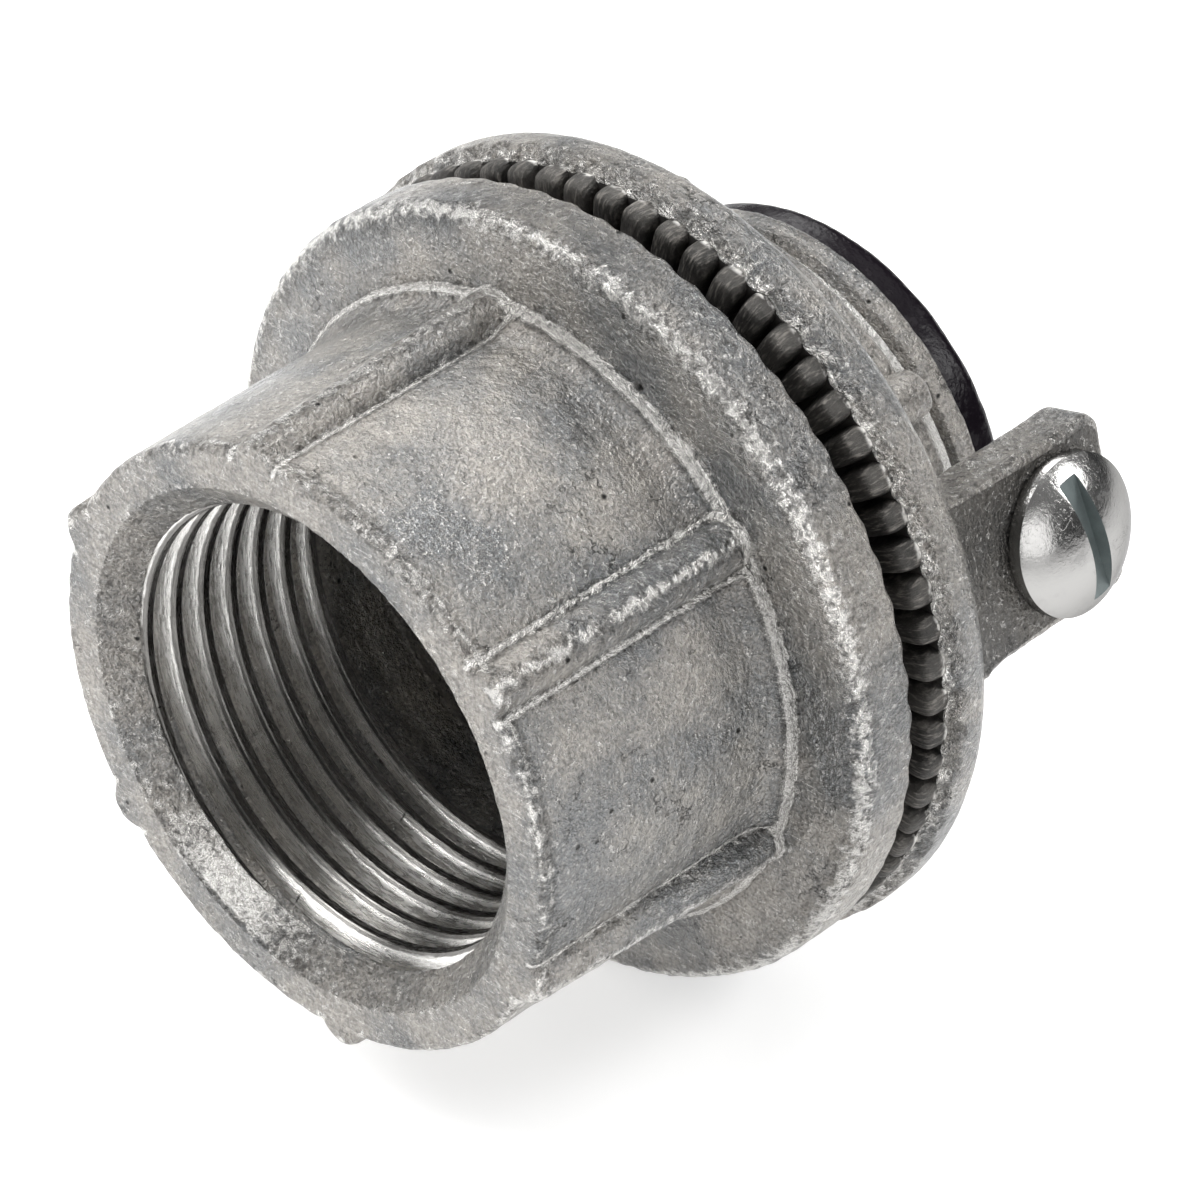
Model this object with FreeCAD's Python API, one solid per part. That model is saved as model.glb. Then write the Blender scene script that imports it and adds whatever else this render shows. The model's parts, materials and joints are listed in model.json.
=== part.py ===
"""Grounding conduit hub: ribbed die-cast hub, sealing ring, insulated throat, toothed nut and ground screw.

Millimetres. The hub axis is Y, with the conduit mouth towards -Y and +Z up.
The origin is on the axis, in the flange's rear face, which seats against the wall.
"""
import FreeCAD, Part
import math
import os

# Pipe threads: 14 to the inch, tapered in the socket and straight on the nipple
thread_pitch = 1.8143
thread_taper = 1.79
thread_crest = 0.5
thread_root = 0.15
thread_overcut = 0.12
socket_thread_depth = 1.1
nipple_thread_depth = 1.0

# Conduit socket in the barrel
socket_radius = 11.9
socket_thread_length = 14.6
mouth_chamfer = 1.7
relief_depth = 0.95
relief_length = 2.6
throat_radius = 10.6
throat_chamfer = 0.8

# Barrel and its gripping ribs
barrel_length = 16.15
barrel_radius = 15.75
barrel_draft = 0.2
barrel_edge_round = 0.8
rib_count = 6
rib_phase = 38.5
rib_width = 2.6
rib_height_front = 0.8
rib_height_rear = 1.4
rib_end_round = 0.7
rib_root = 1.0
rib_embed = 0.3

# Raised lip that each panel of the barrel sweeps up to
lip_rise = 0.95
lip_height = 0.5
lip_sweep = 0.75

# Flange
flange_radius = 20.7
flange_thickness = 3.65
flange_front_round = 1.1
flange_rear_chamfer = 0.3

# Sealing ring in its groove
groove_radius = 16.6
groove_width = 2.2
groove_depth = 1.6
seal_clearance = 0.05
seal_proud = 0.45
seal_chamfer = 0.4

# Threaded nipple behind the flange
nipple_radius = 13.2
nipple_length = 14.8
nipple_end_chamfer = 0.8
nipple_plain_end = 1.6

# Insulating throat at the nipple's end
insulator_radius = 12.4
insulator_lip_length = 2.2
insulator_round = 0.9
insulator_skirt_length = 4.0
insulator_seat_step = 0.55
insulator_wall = 1.0
insulator_clearance = 0.05

# Grounding nut
nut_gap = 1.2
nut_thread_clearance = 0.08
nut_bore_chamfer = 0.7
tooth_count = 66
tooth_phase = 36.9
tooth_set_back = 0.6
tooth_land = 2.0
tooth_height = 1.3
tooth_tip_chamfer = 0.45
tooth_gap_front = 0.95
tooth_gap_root = 0.3
rim_radius = 21.1
rim_thickness = 2.8
rim_round = 1.2
collar_radius = 15.3
collar_length = 5.2
collar_root_round = 0.8
collar_edge_chamfer = 0.45
lug_count = 6
lug_phase = 43.0
lug_width = 2.6
lug_height = 1.4
lug_round = 0.7

# Terminal tab cast on the nut's rim
tab_angle = 16.3
tab_set_back = 0.8
tab_thickness = 3.0
tab_width = 8.4
tab_length = 10.4
tab_corner_round = 2.0
tab_root_round = 1.0

# Ground screw through the tab
screw_end_distance = 3.9
screw_head_radius = 3.85
screw_head_side = 0.9
screw_head_dome = 1.7
screw_slot_width = 1.1
screw_slot_depth = 1.3
screw_slot_angle = 8.0
screw_shank_radius = 2.05
screw_shank_length = 4.6
screw_tip_chamfer = 0.4
screw_clearance = 0.05

# Radii that follow the nut's rim
tooth_radius = rim_radius - tooth_set_back
tab_outer = rim_radius - tab_set_back

# Places along the axis that several pieces share
flange_front = -flange_thickness
mouth = flange_front - barrel_length
thread_end = mouth + socket_thread_length
relief_end = thread_end + relief_length
nut_front = nut_gap
tooth_root = nut_front + tooth_height
rim_rear = tooth_root + rim_thickness
nut_rear = rim_rear + collar_length
tab_end = rim_rear + tab_length
screw_axis_place = tab_end - screw_end_distance
counterbore_start = nipple_length - insulator_skirt_length
counterbore_radius = throat_radius + insulator_seat_step

ORIGIN = FreeCAD.Vector(0, 0, 0)
HUB_AXIS = FreeCAD.Vector(0, 1, 0)
SCREW_AXIS = FreeCAD.Vector(1, 0, 0)


def vector(x, y, z=0.0):
    return FreeCAD.Vector(x, y, z)


def arc_through(start, middle, end):
    return Part.Arc(start, middle, end).toShape()


def rounded_wire(corners):
    """Closed outline in the XY plane. Each corner is (x, y) or (x, y, radius)."""
    points = [vector(c[0], c[1]) for c in corners]
    radii = [c[2] if len(c) > 2 else 0.0 for c in corners]
    starts = []
    ends = []
    middles = []
    for i, point in enumerate(points):
        back = (points[i - 1] - point).normalize()
        ahead = (points[(i + 1) % len(points)] - point).normalize()
        if radii[i] == 0.0:
            starts.append(point)
            ends.append(point)
            middles.append(None)
            continue
        half = back.getAngle(ahead) / 2
        setback = radii[i] / math.tan(half)
        bisector = (back + ahead).normalize()
        starts.append(point + back * setback)
        ends.append(point + ahead * setback)
        middles.append(point + bisector * (radii[i] / math.sin(half) - radii[i]))
    edges = []
    for i, middle in enumerate(middles):
        if middle is not None:
            edges.append(arc_through(starts[i], middle, ends[i]))
        following = starts[(i + 1) % len(starts)]
        if ends[i].distanceToPoint(following) > 1e-6:
            edges.append(Part.LineSegment(ends[i], following).toShape())
    return Part.Wire(edges)


def turned(wire, axis=HUB_AXIS):
    """Solid of revolution of an outline about an axis through the origin."""
    return Part.Face(wire).revolve(ORIGIN, axis, 360)


def at_angle(shape, degrees):
    """Copy of a shape made at +X, turned about the hub axis towards +Z."""
    copy = shape.copy()
    copy.rotate(ORIGIN, HUB_AXIS, -degrees)
    return copy


def ring_of(shape, count, phase):
    """Copies of a shape made at +X, spread evenly round the hub axis."""
    return [at_angle(shape, phase + i * 360.0 / count) for i in range(count)]


def round_topped_section(root, tip, width, y):
    """Section of a rib across the hub axis: straight flanks and a round crest."""
    half = width / 2
    shoulder = tip - half
    low_left = vector(root, y, -half)
    low_right = vector(root, y, half)
    high_left = vector(shoulder, y, -half)
    high_right = vector(shoulder, y, half)
    return Part.Wire([
        Part.LineSegment(low_right, low_left).toShape(),
        Part.LineSegment(low_left, high_left).toShape(),
        arc_through(high_left, vector(tip, y), high_right),
        Part.LineSegment(high_right, low_right).toShape(),
    ])


def barrel_wall(y):
    """Outside radius of the drafted barrel at a place along the axis."""
    return barrel_radius + barrel_draft * (y - mouth) / barrel_length


def hub_turning():
    """The hub without its ribs: barrel, flange and nipple round one through bore."""
    lip_radius = barrel_wall(flange_front) + lip_rise
    lip_front = flange_front - lip_height
    sweep_corner = vector(barrel_wall(lip_front - lip_sweep), lip_front - lip_sweep)
    sweep_edge = vector(lip_radius, lip_front) - sweep_corner
    sweep_turn = math.atan2(sweep_edge.x, sweep_edge.y) - math.atan2(barrel_draft, barrel_length)
    sweep_radius = sweep_edge.Length / math.tan(sweep_turn / 2)
    groove_inner = groove_radius - groove_width / 2
    groove_outer = groove_radius + groove_width / 2
    socket_mouth = socket_radius + mouth_chamfer
    relief_radius = socket_radius + relief_depth
    return turned(rounded_wire([
        (socket_mouth, mouth),
        (barrel_radius, mouth, barrel_edge_round),
        (sweep_corner.x, sweep_corner.y, sweep_radius),
        (lip_radius, lip_front),
        (lip_radius, flange_front),
        (flange_radius, flange_front, flange_front_round),
        (flange_radius, -flange_rear_chamfer),
        (flange_radius - flange_rear_chamfer, 0),
        (groove_outer, 0),
        (groove_outer, -groove_depth),
        (groove_inner, -groove_depth),
        (groove_inner, 0),
        (nipple_radius, 0),
        (nipple_radius, nipple_length - nipple_end_chamfer),
        (nipple_radius - nipple_end_chamfer, nipple_length),
        (counterbore_radius, nipple_length),
        (counterbore_radius, counterbore_start),
        (throat_radius, counterbore_start),
        (throat_radius, relief_end + throat_chamfer),
        (throat_radius + throat_chamfer, relief_end),
        (relief_radius, relief_end),
        (relief_radius, thread_end),
        (socket_radius, thread_end),
        (socket_radius, mouth + mouth_chamfer),
    ]))


def end_rounded(bar, y, radius):
    """A bar along the hub axis with the outside edges of its end face at y rounded."""
    root = bar.BoundBox.XMin
    edges = []
    for edge in bar.Edges:
        box = edge.BoundBox
        at_end = abs(box.YMin - y) < 1e-6 and abs(box.YMax - y) < 1e-6
        if at_end and box.XMax - root > 1e-6:
            edges.append(edge)
    return bar.makeFillet(radius, edges)


def hub_ribs():
    """Gripping ribs along the barrel, deeper towards the flange, with rounded front ends."""
    front_crest = barrel_radius + rib_height_front
    rear_crest = barrel_wall(flange_front) + rib_height_rear
    slope = math.degrees(math.atan2(rear_crest - front_crest, barrel_length))
    section = round_topped_section(barrel_radius - rib_root, front_crest, rib_width, mouth)
    bar = Part.Face(section).extrude(vector(0, barrel_length + rib_embed))
    rib = end_rounded(bar, mouth, rib_end_round)
    rib.rotate(vector(front_crest, mouth), vector(0, 0, 1), -slope)
    return ring_of(rib, rib_count, rib_phase)


def thread_groove(crest_radius, depth, start, end, taper=0.0):
    """Solid that cuts a right-handed thread round the hub axis. A positive depth goes outwards."""
    root_radius = crest_radius + depth
    clear_radius = crest_radius - math.copysign(thread_overcut, depth)
    root_half = thread_root / 2
    crest_half = (thread_pitch - thread_crest) / 2
    clear_half = crest_half + (crest_half - root_half) * thread_overcut / abs(depth)
    section = Part.makePolygon([
        vector(clear_radius, 0, -clear_half),
        vector(root_radius, 0, -root_half),
        vector(root_radius, 0, root_half),
        vector(clear_radius, 0, clear_half),
        vector(clear_radius, 0, -clear_half),
    ])
    path = Part.makeLongHelix(thread_pitch, end - start, crest_radius, -taper)
    groove = path.makePipeShell([section], True, True)
    groove.rotate(ORIGIN, vector(1, 0), -90)
    groove.translate(vector(0, start))
    return groove


def hub_body():
    """The casting with its two threads. The socket's runs out into the relief, the nipple's stops short."""
    casting = hub_turning().fuse(hub_ribs()).removeSplitter()
    socket_thread = thread_groove(
        socket_radius, socket_thread_depth, mouth - thread_pitch, thread_end + relief_length / 2,
        thread_taper,
    )
    nipple_thread = thread_groove(
        nipple_radius, -nipple_thread_depth, thread_pitch, nipple_length - nipple_plain_end,
    )
    return casting.cut(socket_thread).cut(nipple_thread)


def sealing_ring():
    """Soft ring that fills its groove and stands proud of the flange."""
    half = groove_width / 2 - seal_clearance
    bottom = -groove_depth
    return turned(rounded_wire([
        (groove_radius - half, bottom),
        (groove_radius + half, bottom),
        (groove_radius + half, seal_proud - seal_chamfer),
        (groove_radius + half - seal_chamfer, seal_proud),
        (groove_radius - half + seal_chamfer, seal_proud),
        (groove_radius - half, seal_proud - seal_chamfer),
    ]))


def insulating_throat():
    """Plastic bushing: a skirt in the nipple's counterbore and a rounded lip over its end."""
    skirt_radius = counterbore_radius - insulator_clearance
    bore = skirt_radius - insulator_wall
    lip_end = nipple_length + insulator_lip_length
    return turned(rounded_wire([
        (bore, counterbore_start),
        (skirt_radius, counterbore_start),
        (skirt_radius, nipple_length),
        (insulator_radius, nipple_length),
        (insulator_radius, lip_end, insulator_round),
        (bore, lip_end, insulator_round),
    ]))


def nut_turning():
    """The nut without teeth gaps, lugs and tab: rim, rear face and threaded collar."""
    bore = nipple_radius + nut_thread_clearance
    tooth_inner = tooth_radius - tooth_land
    return turned(rounded_wire([
        (bore + nut_bore_chamfer, tooth_root),
        (tooth_inner, tooth_root),
        (tooth_inner, nut_front),
        (tooth_radius - tooth_tip_chamfer, nut_front),
        (tooth_radius, nut_front + tooth_tip_chamfer),
        (tooth_radius, tooth_root),
        (rim_radius, tooth_root + (rim_radius - tooth_radius)),
        (rim_radius, rim_rear, rim_round),
        (collar_radius, rim_rear, collar_root_round),
        (collar_radius, nut_rear - collar_edge_chamfer),
        (collar_radius - collar_edge_chamfer, nut_rear),
        (bore + nut_bore_chamfer, nut_rear),
        (bore, nut_rear - nut_bore_chamfer),
        (bore, tooth_root + nut_bore_chamfer),
    ]))


def tooth_gaps():
    """Radial gaps, narrower at the root, that leave the biting teeth standing round the rim."""
    front = tooth_gap_front / 2
    root = tooth_gap_root / 2
    start = tooth_radius - 1.5 * tooth_land
    outline = Part.makePolygon([
        vector(start, nut_front - tooth_height, -front),
        vector(start, nut_front, -front),
        vector(start, tooth_root, -root),
        vector(start, tooth_root, root),
        vector(start, nut_front, front),
        vector(start, nut_front - tooth_height, front),
        vector(start, nut_front - tooth_height, -front),
    ])
    gap = Part.Face(outline).extrude(vector(rim_radius - start, 0))
    half_pitch = 180.0 / tooth_count
    return ring_of(gap, tooth_count, tooth_phase + half_pitch)


def driving_lugs():
    """Round-topped lugs along the collar, for turning the nut with a driver and hammer."""
    root = (nipple_radius + nut_thread_clearance + collar_radius) / 2
    section = round_topped_section(root, collar_radius + lug_height, lug_width, rim_rear - rim_round)
    bar = Part.Face(section).extrude(vector(0, collar_length + rim_round))
    return ring_of(end_rounded(bar, nut_rear, lug_round), lug_count, lug_phase)


def terminal_tab():
    """Flat tab behind the rim, with rounded rear corners, a fillet at its root and a screw hole."""
    half = tab_width / 2
    inner = tab_outer - tab_thickness
    start = tooth_root + rim_thickness / 3
    outline = rounded_wire([
        (start, -half),
        (tab_end, -half, tab_corner_round),
        (tab_end, half, tab_corner_round),
        (start, half),
    ])
    outline.Placement = FreeCAD.Placement(
        vector(inner, 0),
        FreeCAD.Rotation(vector(0, 1), vector(0, 0, 1), vector(1, 0), "ZXY"),
    )
    plate = Part.Face(outline).extrude(vector(tab_thickness, 0))
    reach = tab_root_round
    corner = vector(inner, rim_rear, -half)
    along_face = vector(inner - reach, rim_rear, -half)
    along_tab = vector(inner, rim_rear + reach, -half)
    bend = reach * (1 - math.sqrt(0.5))
    root = Part.Face(Part.Wire([
        Part.LineSegment(corner, along_face).toShape(),
        arc_through(along_face, vector(inner - bend, rim_rear + bend, -half), along_tab),
        Part.LineSegment(along_tab, corner).toShape(),
    ])).extrude(vector(0, 0, tab_width))
    root_base = Part.makeBox(
        reach, rim_thickness / 2, tab_width,
        vector(inner - reach, rim_rear - rim_thickness / 2, -half),
    )
    return at_angle(plate.fuse([root, root_base]), tab_angle)


def screw_hole():
    hole = Part.makeCylinder(
        screw_shank_radius + screw_clearance,
        2 * tab_thickness,
        vector(tab_outer - 1.5 * tab_thickness, screw_axis_place),
        SCREW_AXIS,
    )
    return at_angle(hole, tab_angle)


def grounding_nut():
    toothed = nut_turning().cut(tooth_gaps())
    whole = toothed.fuse(driving_lugs() + [terminal_tab()])
    return whole.cut(screw_hole()).removeSplitter()


def ground_screw():
    """Slotted round-head screw, square to the tab, with its head just clear of the tab's face."""
    seat = screw_clearance
    side = seat + screw_head_side
    crown = side + screw_head_dome
    cap_radius = (screw_head_radius ** 2 + screw_head_dome ** 2) / (2 * screw_head_dome)
    cap_centre = crown - cap_radius
    half_turn = math.asin(screw_head_radius / cap_radius) / 2
    cap_middle = vector(
        cap_centre + cap_radius * math.cos(half_turn),
        cap_radius * math.sin(half_turn),
    )
    tip = seat - screw_shank_length
    corners = [
        vector(crown, 0),
        vector(tip, 0),
        vector(tip, screw_shank_radius - screw_tip_chamfer),
        vector(tip + screw_tip_chamfer, screw_shank_radius),
        vector(seat, screw_shank_radius),
        vector(seat, screw_head_radius),
        vector(side, screw_head_radius),
    ]
    edges = [Part.LineSegment(a, b).toShape() for a, b in zip(corners, corners[1:])]
    edges.append(arc_through(corners[-1], cap_middle, corners[0]))
    screw = turned(Part.Wire(edges), SCREW_AXIS)
    slot = Part.makeBox(
        screw_slot_depth + screw_head_dome,
        screw_slot_width,
        4 * screw_head_radius,
        vector(crown - screw_slot_depth, -screw_slot_width / 2, -2 * screw_head_radius),
    )
    slot.rotate(ORIGIN, SCREW_AXIS, screw_slot_angle)
    screw = screw.cut(slot)
    screw.translate(vector(tab_outer, screw_axis_place))
    return at_angle(screw, tab_angle)


def main():
    os.makedirs("parts", exist_ok=True)
    pieces = {
        "hub_body": hub_body(),
        "sealing_ring": sealing_ring(),
        "insulating_throat": insulating_throat(),
        "grounding_nut": grounding_nut(),
        "ground_screw": ground_screw(),
    }
    for name, shape in pieces.items():
        print(name, "solids", len(shape.Solids), "valid", shape.isValid(), "volume", round(shape.Volume, 1))
        shape.exportStep("parts/" + name + ".step")


main()
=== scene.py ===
"""Grounding conduit hub: die-cast hub, toothed nut, insulated throat, sealing ring and ground screw.

Metres, in the frame of the solids: the hub axis is Y, the conduit mouth faces -Y and +Z is up.
Angles round the hub axis are measured from +X towards +Z.
"""
import json
import math
from collections import namedtuple

import bpy
import numpy as np
from bpy.props import FloatProperty, FloatVectorProperty, IntProperty, PointerProperty
from mathutils import Matrix, Vector


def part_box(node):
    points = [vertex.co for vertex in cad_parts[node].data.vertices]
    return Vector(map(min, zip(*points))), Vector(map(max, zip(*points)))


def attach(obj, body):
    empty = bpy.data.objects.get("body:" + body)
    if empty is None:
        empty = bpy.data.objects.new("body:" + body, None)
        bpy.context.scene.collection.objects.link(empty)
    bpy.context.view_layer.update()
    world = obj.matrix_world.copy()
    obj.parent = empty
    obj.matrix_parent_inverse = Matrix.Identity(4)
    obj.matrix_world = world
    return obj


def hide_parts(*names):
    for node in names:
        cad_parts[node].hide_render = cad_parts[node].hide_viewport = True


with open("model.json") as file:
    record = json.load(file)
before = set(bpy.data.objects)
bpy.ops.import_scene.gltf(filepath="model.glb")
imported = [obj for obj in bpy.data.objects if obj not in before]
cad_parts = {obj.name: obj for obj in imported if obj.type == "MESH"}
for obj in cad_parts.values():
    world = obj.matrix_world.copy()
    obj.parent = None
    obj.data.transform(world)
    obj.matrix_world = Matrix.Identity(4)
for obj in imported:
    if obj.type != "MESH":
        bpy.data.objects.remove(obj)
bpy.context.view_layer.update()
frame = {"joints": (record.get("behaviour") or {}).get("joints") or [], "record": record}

bl_info = {
    "name": "Grounding Conduit Hub",
    "version": (1, 0, 0),
    "blender": (4, 5, 0),
    "location": "View3D > Sidebar > Conduit Hub",
    "description": "Builds the visible pieces of a grounding conduit hub round its solids",
    "category": "Object",
}

MM = 0.001

# Places and radii that the solids give
HUB_LOW, HUB_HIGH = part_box("hub_body")
NUT_LOW, NUT_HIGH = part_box("grounding_nut")
THROAT_LOW, THROAT_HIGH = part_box("insulating_throat")
SEAL_LOW, SEAL_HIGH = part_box("sealing_ring")
MOUTH = HUB_LOW.y
FLANGE_RADIUS = HUB_HIGH.x
NIPPLE_END = HUB_HIGH.y
NUT_FRONT = NUT_LOW.y
RIM_RADIUS = -NUT_LOW.x
TAB_END = NUT_HIGH.y
SCREW_JOINT = next(j for j in frame["joints"] if j["child"] == "screw")
TERMINAL = next(m for m in frame["record"]["mounts"] if m["name"] == "ground_terminal")
TAB_AXIS = Vector(SCREW_JOINT["axis"]).normalized()
TAB_ANGLE = math.atan2(TAB_AXIS.z, TAB_AXIS.x)
TAB_TANGENT = Vector((-math.sin(TAB_ANGLE), 0.0, math.cos(TAB_ANGLE)))
HUB_AXIS = Vector((0.0, 1.0, 0.0))
TAB_FACE = Vector(TERMINAL["pos_m"]).dot(TAB_AXIS)
SCREW_PLACE = TERMINAL["pos_m"][1]

# How finely outlines, rings and ridges are sampled
ARC_STEP = math.radians(13)
LEAST_ARC_STEPS = 3
FINE_STEP = 0.3 * MM
MEDIUM_STEP = 0.5 * MM
HIDDEN_STEP = 2.0 * MM
RIB_ZONE = 1.25
RIB_STEPS = 26
PANEL_STEPS = 42
STEPS_PER_TOOTH = 8
THROAT_STEPS = 240
SEAL_STEPS = 160
SCREW_STEPS = 96
DOME_STEPS = 14
SAME_PLACE = 1e-6 * MM

# Angles past which an edge is shaded sharp
SHARP_BEND = math.radians(20)
HUB_SHARP = math.radians(50)
SCREW_SHARP = math.radians(40)

# How far wear reaches from an edge, how worn ribs and lugs are, and where a painted highlight runs along each
# rib's feet; places and widths in half widths of a rib
WEAR_REACH = 0.36 * MM
CREST_WEAR = 0.85
CREST_WEAR_WIDTH = 0.42
FOOT_HIGHLIGHT = 1.2
FOOT_HIGHLIGHT_PLACE = 1.2
FOOT_HIGHLIGHT_WIDTH = 0.2
LUG_WEAR = 0.4

# Share of the surface's cells that have a pit
HUB_PITS = 0.12
NUT_PITS = 0.1
TAB_PITS = 0.2

# Small shapes: waves along the flange's rear edge, the rim's front edge, and the sealing ring's width
FLANGE_SCALLOPS = 66
SCALLOP_REACH = 0.5 * MM
SCALLOP_ZONE = 1.0 * MM
RIM_LEAD_ZONE = 2.2 * MM
SEAL_WIDTH = 2.1 * MM

# Turns over which a thread fades in
SHORT_LEAD = 0.25
LONG_LEAD = 0.6

# Material slots of a casting: the shaded tab slot is for the tab's outer face, whose darker copy of the zinc
# is painted shade
CAST_SLOT = 0
THREAD_SLOT = 1
# The tooth slot's dark finish paints shade on the teeth and on the nut's front face between them
SHADED_TOOTH_SLOT = 2
SHADED_TAB_SLOT = 3

# The floor's own glow, and where it starts to fade and ends, in millimetres
FLOOR_GLOW = 0.55
GLOW_NEAR = 60.0
GLOW_FAR = 170.0

# Soft boxes: name, place, the point it faces, side of the square and watts
CENTRE = (0.0, 0.0, 0.0)
LAMPS = (
    ("top_box", (-0.03, 0.11, 0.32), CENTRE, 0.34, 0.55),
    ("key_box", (-0.17, -0.13, 0.24), CENTRE, 0.18, 0.85),
    ("front_box", (-0.16, -0.31, 0.06), (0.0, -0.02, 0.0), 0.15, 0.42),
    ("left_box", (-0.23, 0.19, 0.2), CENTRE, 0.16, 0.5),
    ("right_box", (0.30, -0.10, 0.10), CENTRE, 0.2, 0.3),
    ("back_box", (0.2, 0.2, 0.19), CENTRE, 0.1, 0.45),
)

# Turns a shape made round Z so that it stands round the hub axis
Z_TO_HUB_AXIS = (-math.pi / 2, 0.0, 0.0)


def length(name, description, millimetres):
    """A size in metres, given here in millimetres."""
    return FloatProperty(
        name=name, description=description, default=millimetres * MM,
        unit="LENGTH", subtype="DISTANCE", precision=5,
    )


def turn(name, description, degrees):
    """An angle, given here in degrees."""
    return FloatProperty(
        name=name, description=description, default=math.radians(degrees),
        unit="ROTATION", subtype="ANGLE",
    )


def colour(name, description, red, green, blue):
    """A linear colour."""
    return FloatVectorProperty(
        name=name, description=description, default=(red, green, blue),
        subtype="COLOR", size=3, min=0.0, max=1.0,
    )


def count(name, description, default):
    """A whole number of at least one."""
    return IntProperty(name=name, description=description, default=default, min=1)


class HubSizes(bpy.types.PropertyGroup):
    """Sizes of the hub casting and its two pipe threads."""
    mouth_radius: length("Mouth radius", "Outer radius of the mouth's chamfer", 13.6)
    mouth_chamfer: length("Mouth chamfer", "Depth of the chamfer ahead of the thread", 1.5)
    mouth_lip: length("Mouth lip", "Radius where the chamfer ends and the thread starts", 12.06)
    socket_crest: length("Socket crest", "Radius of the socket thread's crests", 11.9)
    socket_root: length("Socket root", "Radius of the socket thread's roots at the mouth", 12.95)
    socket_taper: length("Socket taper", "How much the roots close in towards the relief", 0.42)
    socket_length: length("Socket length", "Depth of the threaded socket", 14.6)
    relief_radius: length("Relief radius", "Radius of the relief behind the thread", 12.85)
    relief_length: length("Relief length", "Length of the relief", 2.6)
    throat_radius: length("Throat radius", "Radius of the smooth throat", 10.6)
    throat_chamfer: length("Throat chamfer", "Chamfer at the throat's front", 0.8)
    pitch: length("Pitch", "Pitch of both pipe threads", 1.8143)
    thread_crest: length("Thread crest", "Width of the threads' flat crests", 0.5)
    thread_root: length("Thread root", "Width of the threads' flat roots", 0.15)
    barrel_radius: length("Barrel radius", "Radius of the barrel at the mouth", 15.75)
    barrel_draft: length("Barrel draft", "How much the barrel widens towards the flange", 0.2)
    # The bright side of the mouth's chamfer is wear and a painted highlight
    mouth_wear_and_highlight: turn("Mouth wear", "Side of the mouth whose chamfer is worn bright", 244.0)
    mouth_wear_and_highlight_span: turn("Mouth wear span", "How far the worn side of the chamfer reaches", 32.0)
    flaky_edge: length("Flaky edge", "Distance of the flaky line behind the barrel's front edge", 0.6)
    barrel_round: length("Barrel edge", "Rounding of the barrel's front edge", 0.4)
    rib_count: count("Ribs", "Number of gripping ribs", 6)
    rib_phase: turn("Rib angle", "Angle of the first rib", 38.5)
    rib_width: length("Rib width", "Width of a rib", 2.6)
    rib_front: length("Rib front height", "Height of a rib at the mouth", 0.8)
    rib_rear: length("Rib rear height", "Height of a rib at the flange", 1.4)
    rib_fillet: length("Rib fillet", "Blend between a rib and the barrel", 0.35)
    lip_rise: length("Lip rise", "How far the lip stands off the barrel", 0.95)
    lip_height: length("Lip height", "Height of the lip on the flange", 0.5)
    lip_sweep: length("Lip sweep", "Length of the barrel's sweep up to the lip", 0.75)
    flange_thickness: length("Flange thickness", "Thickness of the flange", 3.65)
    flange_round: length("Flange front edge", "Rounding of the flange's front edge", 1.1)
    flange_rear: length("Flange rear edge", "Rounding of the flange's rear edge", 0.4)
    flange_scallop: length("Flange scallop", "Waviness of the flange's rear edge", 0.09)
    groove_inner: length("Groove inside", "Inner radius of the seal's groove", 15.5)
    groove_outer: length("Groove outside", "Outer radius of the seal's groove", 17.7)
    nipple_radius: length("Nipple radius", "Radius of the nipple thread's crests", 13.2)
    nipple_root: length("Nipple root", "Radius of the nipple thread's roots", 12.2)
    nipple_plain: length("Plain end", "Length of the plain band at the nipple's end", 1.3)
    counterbore: length("Counterbore", "Radius of the insulator's seat", 11.15)


class NutSizes(bpy.types.PropertyGroup):
    """Sizes of the grounding nut and its tab."""
    bore: length("Bore", "Radius of the thread's crests in the nut's bore", 13.28)
    bore_root: length("Bore root", "Radius of the thread's roots in the nut's bore", 13.85)
    bore_chamfer: length("Bore chamfer", "Chamfer at both ends of the bore", 0.7)
    tooth_count: count("Teeth", "Number of biting teeth", 66)
    tooth_phase: turn("Tooth angle", "Angle of the first tooth", 36.9)
    tooth_radius: length("Tooth radius", "Radius of the teeth's outer ends", 20.55)
    tooth_length: length("Tooth length", "Radial length of a tooth", 2.5)
    tooth_width: length("Tooth width", "Width of a tooth at its root", 1.7)
    tooth_height: length("Tooth height", "Height of the teeth over the nut's face", 1.3)
    tooth_embed: length("Tooth root", "How far a tooth goes into the nut", 0.5)
    rim_thickness: length("Rim thickness", "Thickness of the rim behind the teeth", 2.8)
    rim_lead: length("Rim lead", "Bevel of the rim's front edge", 0.6)
    rim_round: length("Rim edge", "Rounding of the rim's rear edge", 1.2)
    rim_scallop: length("Rim scallop", "Waviness of the rim's front edge between teeth", 0.16)
    collar_radius: length("Collar radius", "Radius of the threaded collar", 15.3)
    collar_length: length("Collar length", "Length of the collar", 5.2)
    collar_fillet: length("Collar fillet", "Fillet between rim and collar", 0.8)
    collar_edge: length("Collar edge", "Rounding of the collar's rear edge", 0.45)
    lug_count: count("Lugs", "Number of driving lugs", 6)
    lug_phase: turn("Lug angle", "Angle of the first lug", 43.0)
    lug_width: length("Lug width", "Width of a lug", 2.6)
    lug_height: length("Lug height", "Height of a lug over the collar", 1.4)
    lug_fillet: length("Lug fillet", "Blend between a lug and the collar", 0.3)
    tab_width: length("Tab width", "Width of the terminal tab", 8.7)
    tab_rise: length("Tab rise", "How much further the tab reaches on its upper side", 0.35)
    tab_thickness: length("Tab thickness", "Thickness of the tab", 3.0)
    tab_corner: length("Tab corner", "Rounding of the tab's rear corners", 0.9)
    tab_edge: length("Tab edge", "Rounding of the tab's long edges", 0.5)
    tab_root: length("Tab root", "Fillet where the tab joins the rim", 1.3)
    tab_embed: length("Tab embed", "How far the tab's root goes into the rim", 1.2)
    tab_hole: length("Tab hole", "Radius of the screw hole", 2.1)


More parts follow.
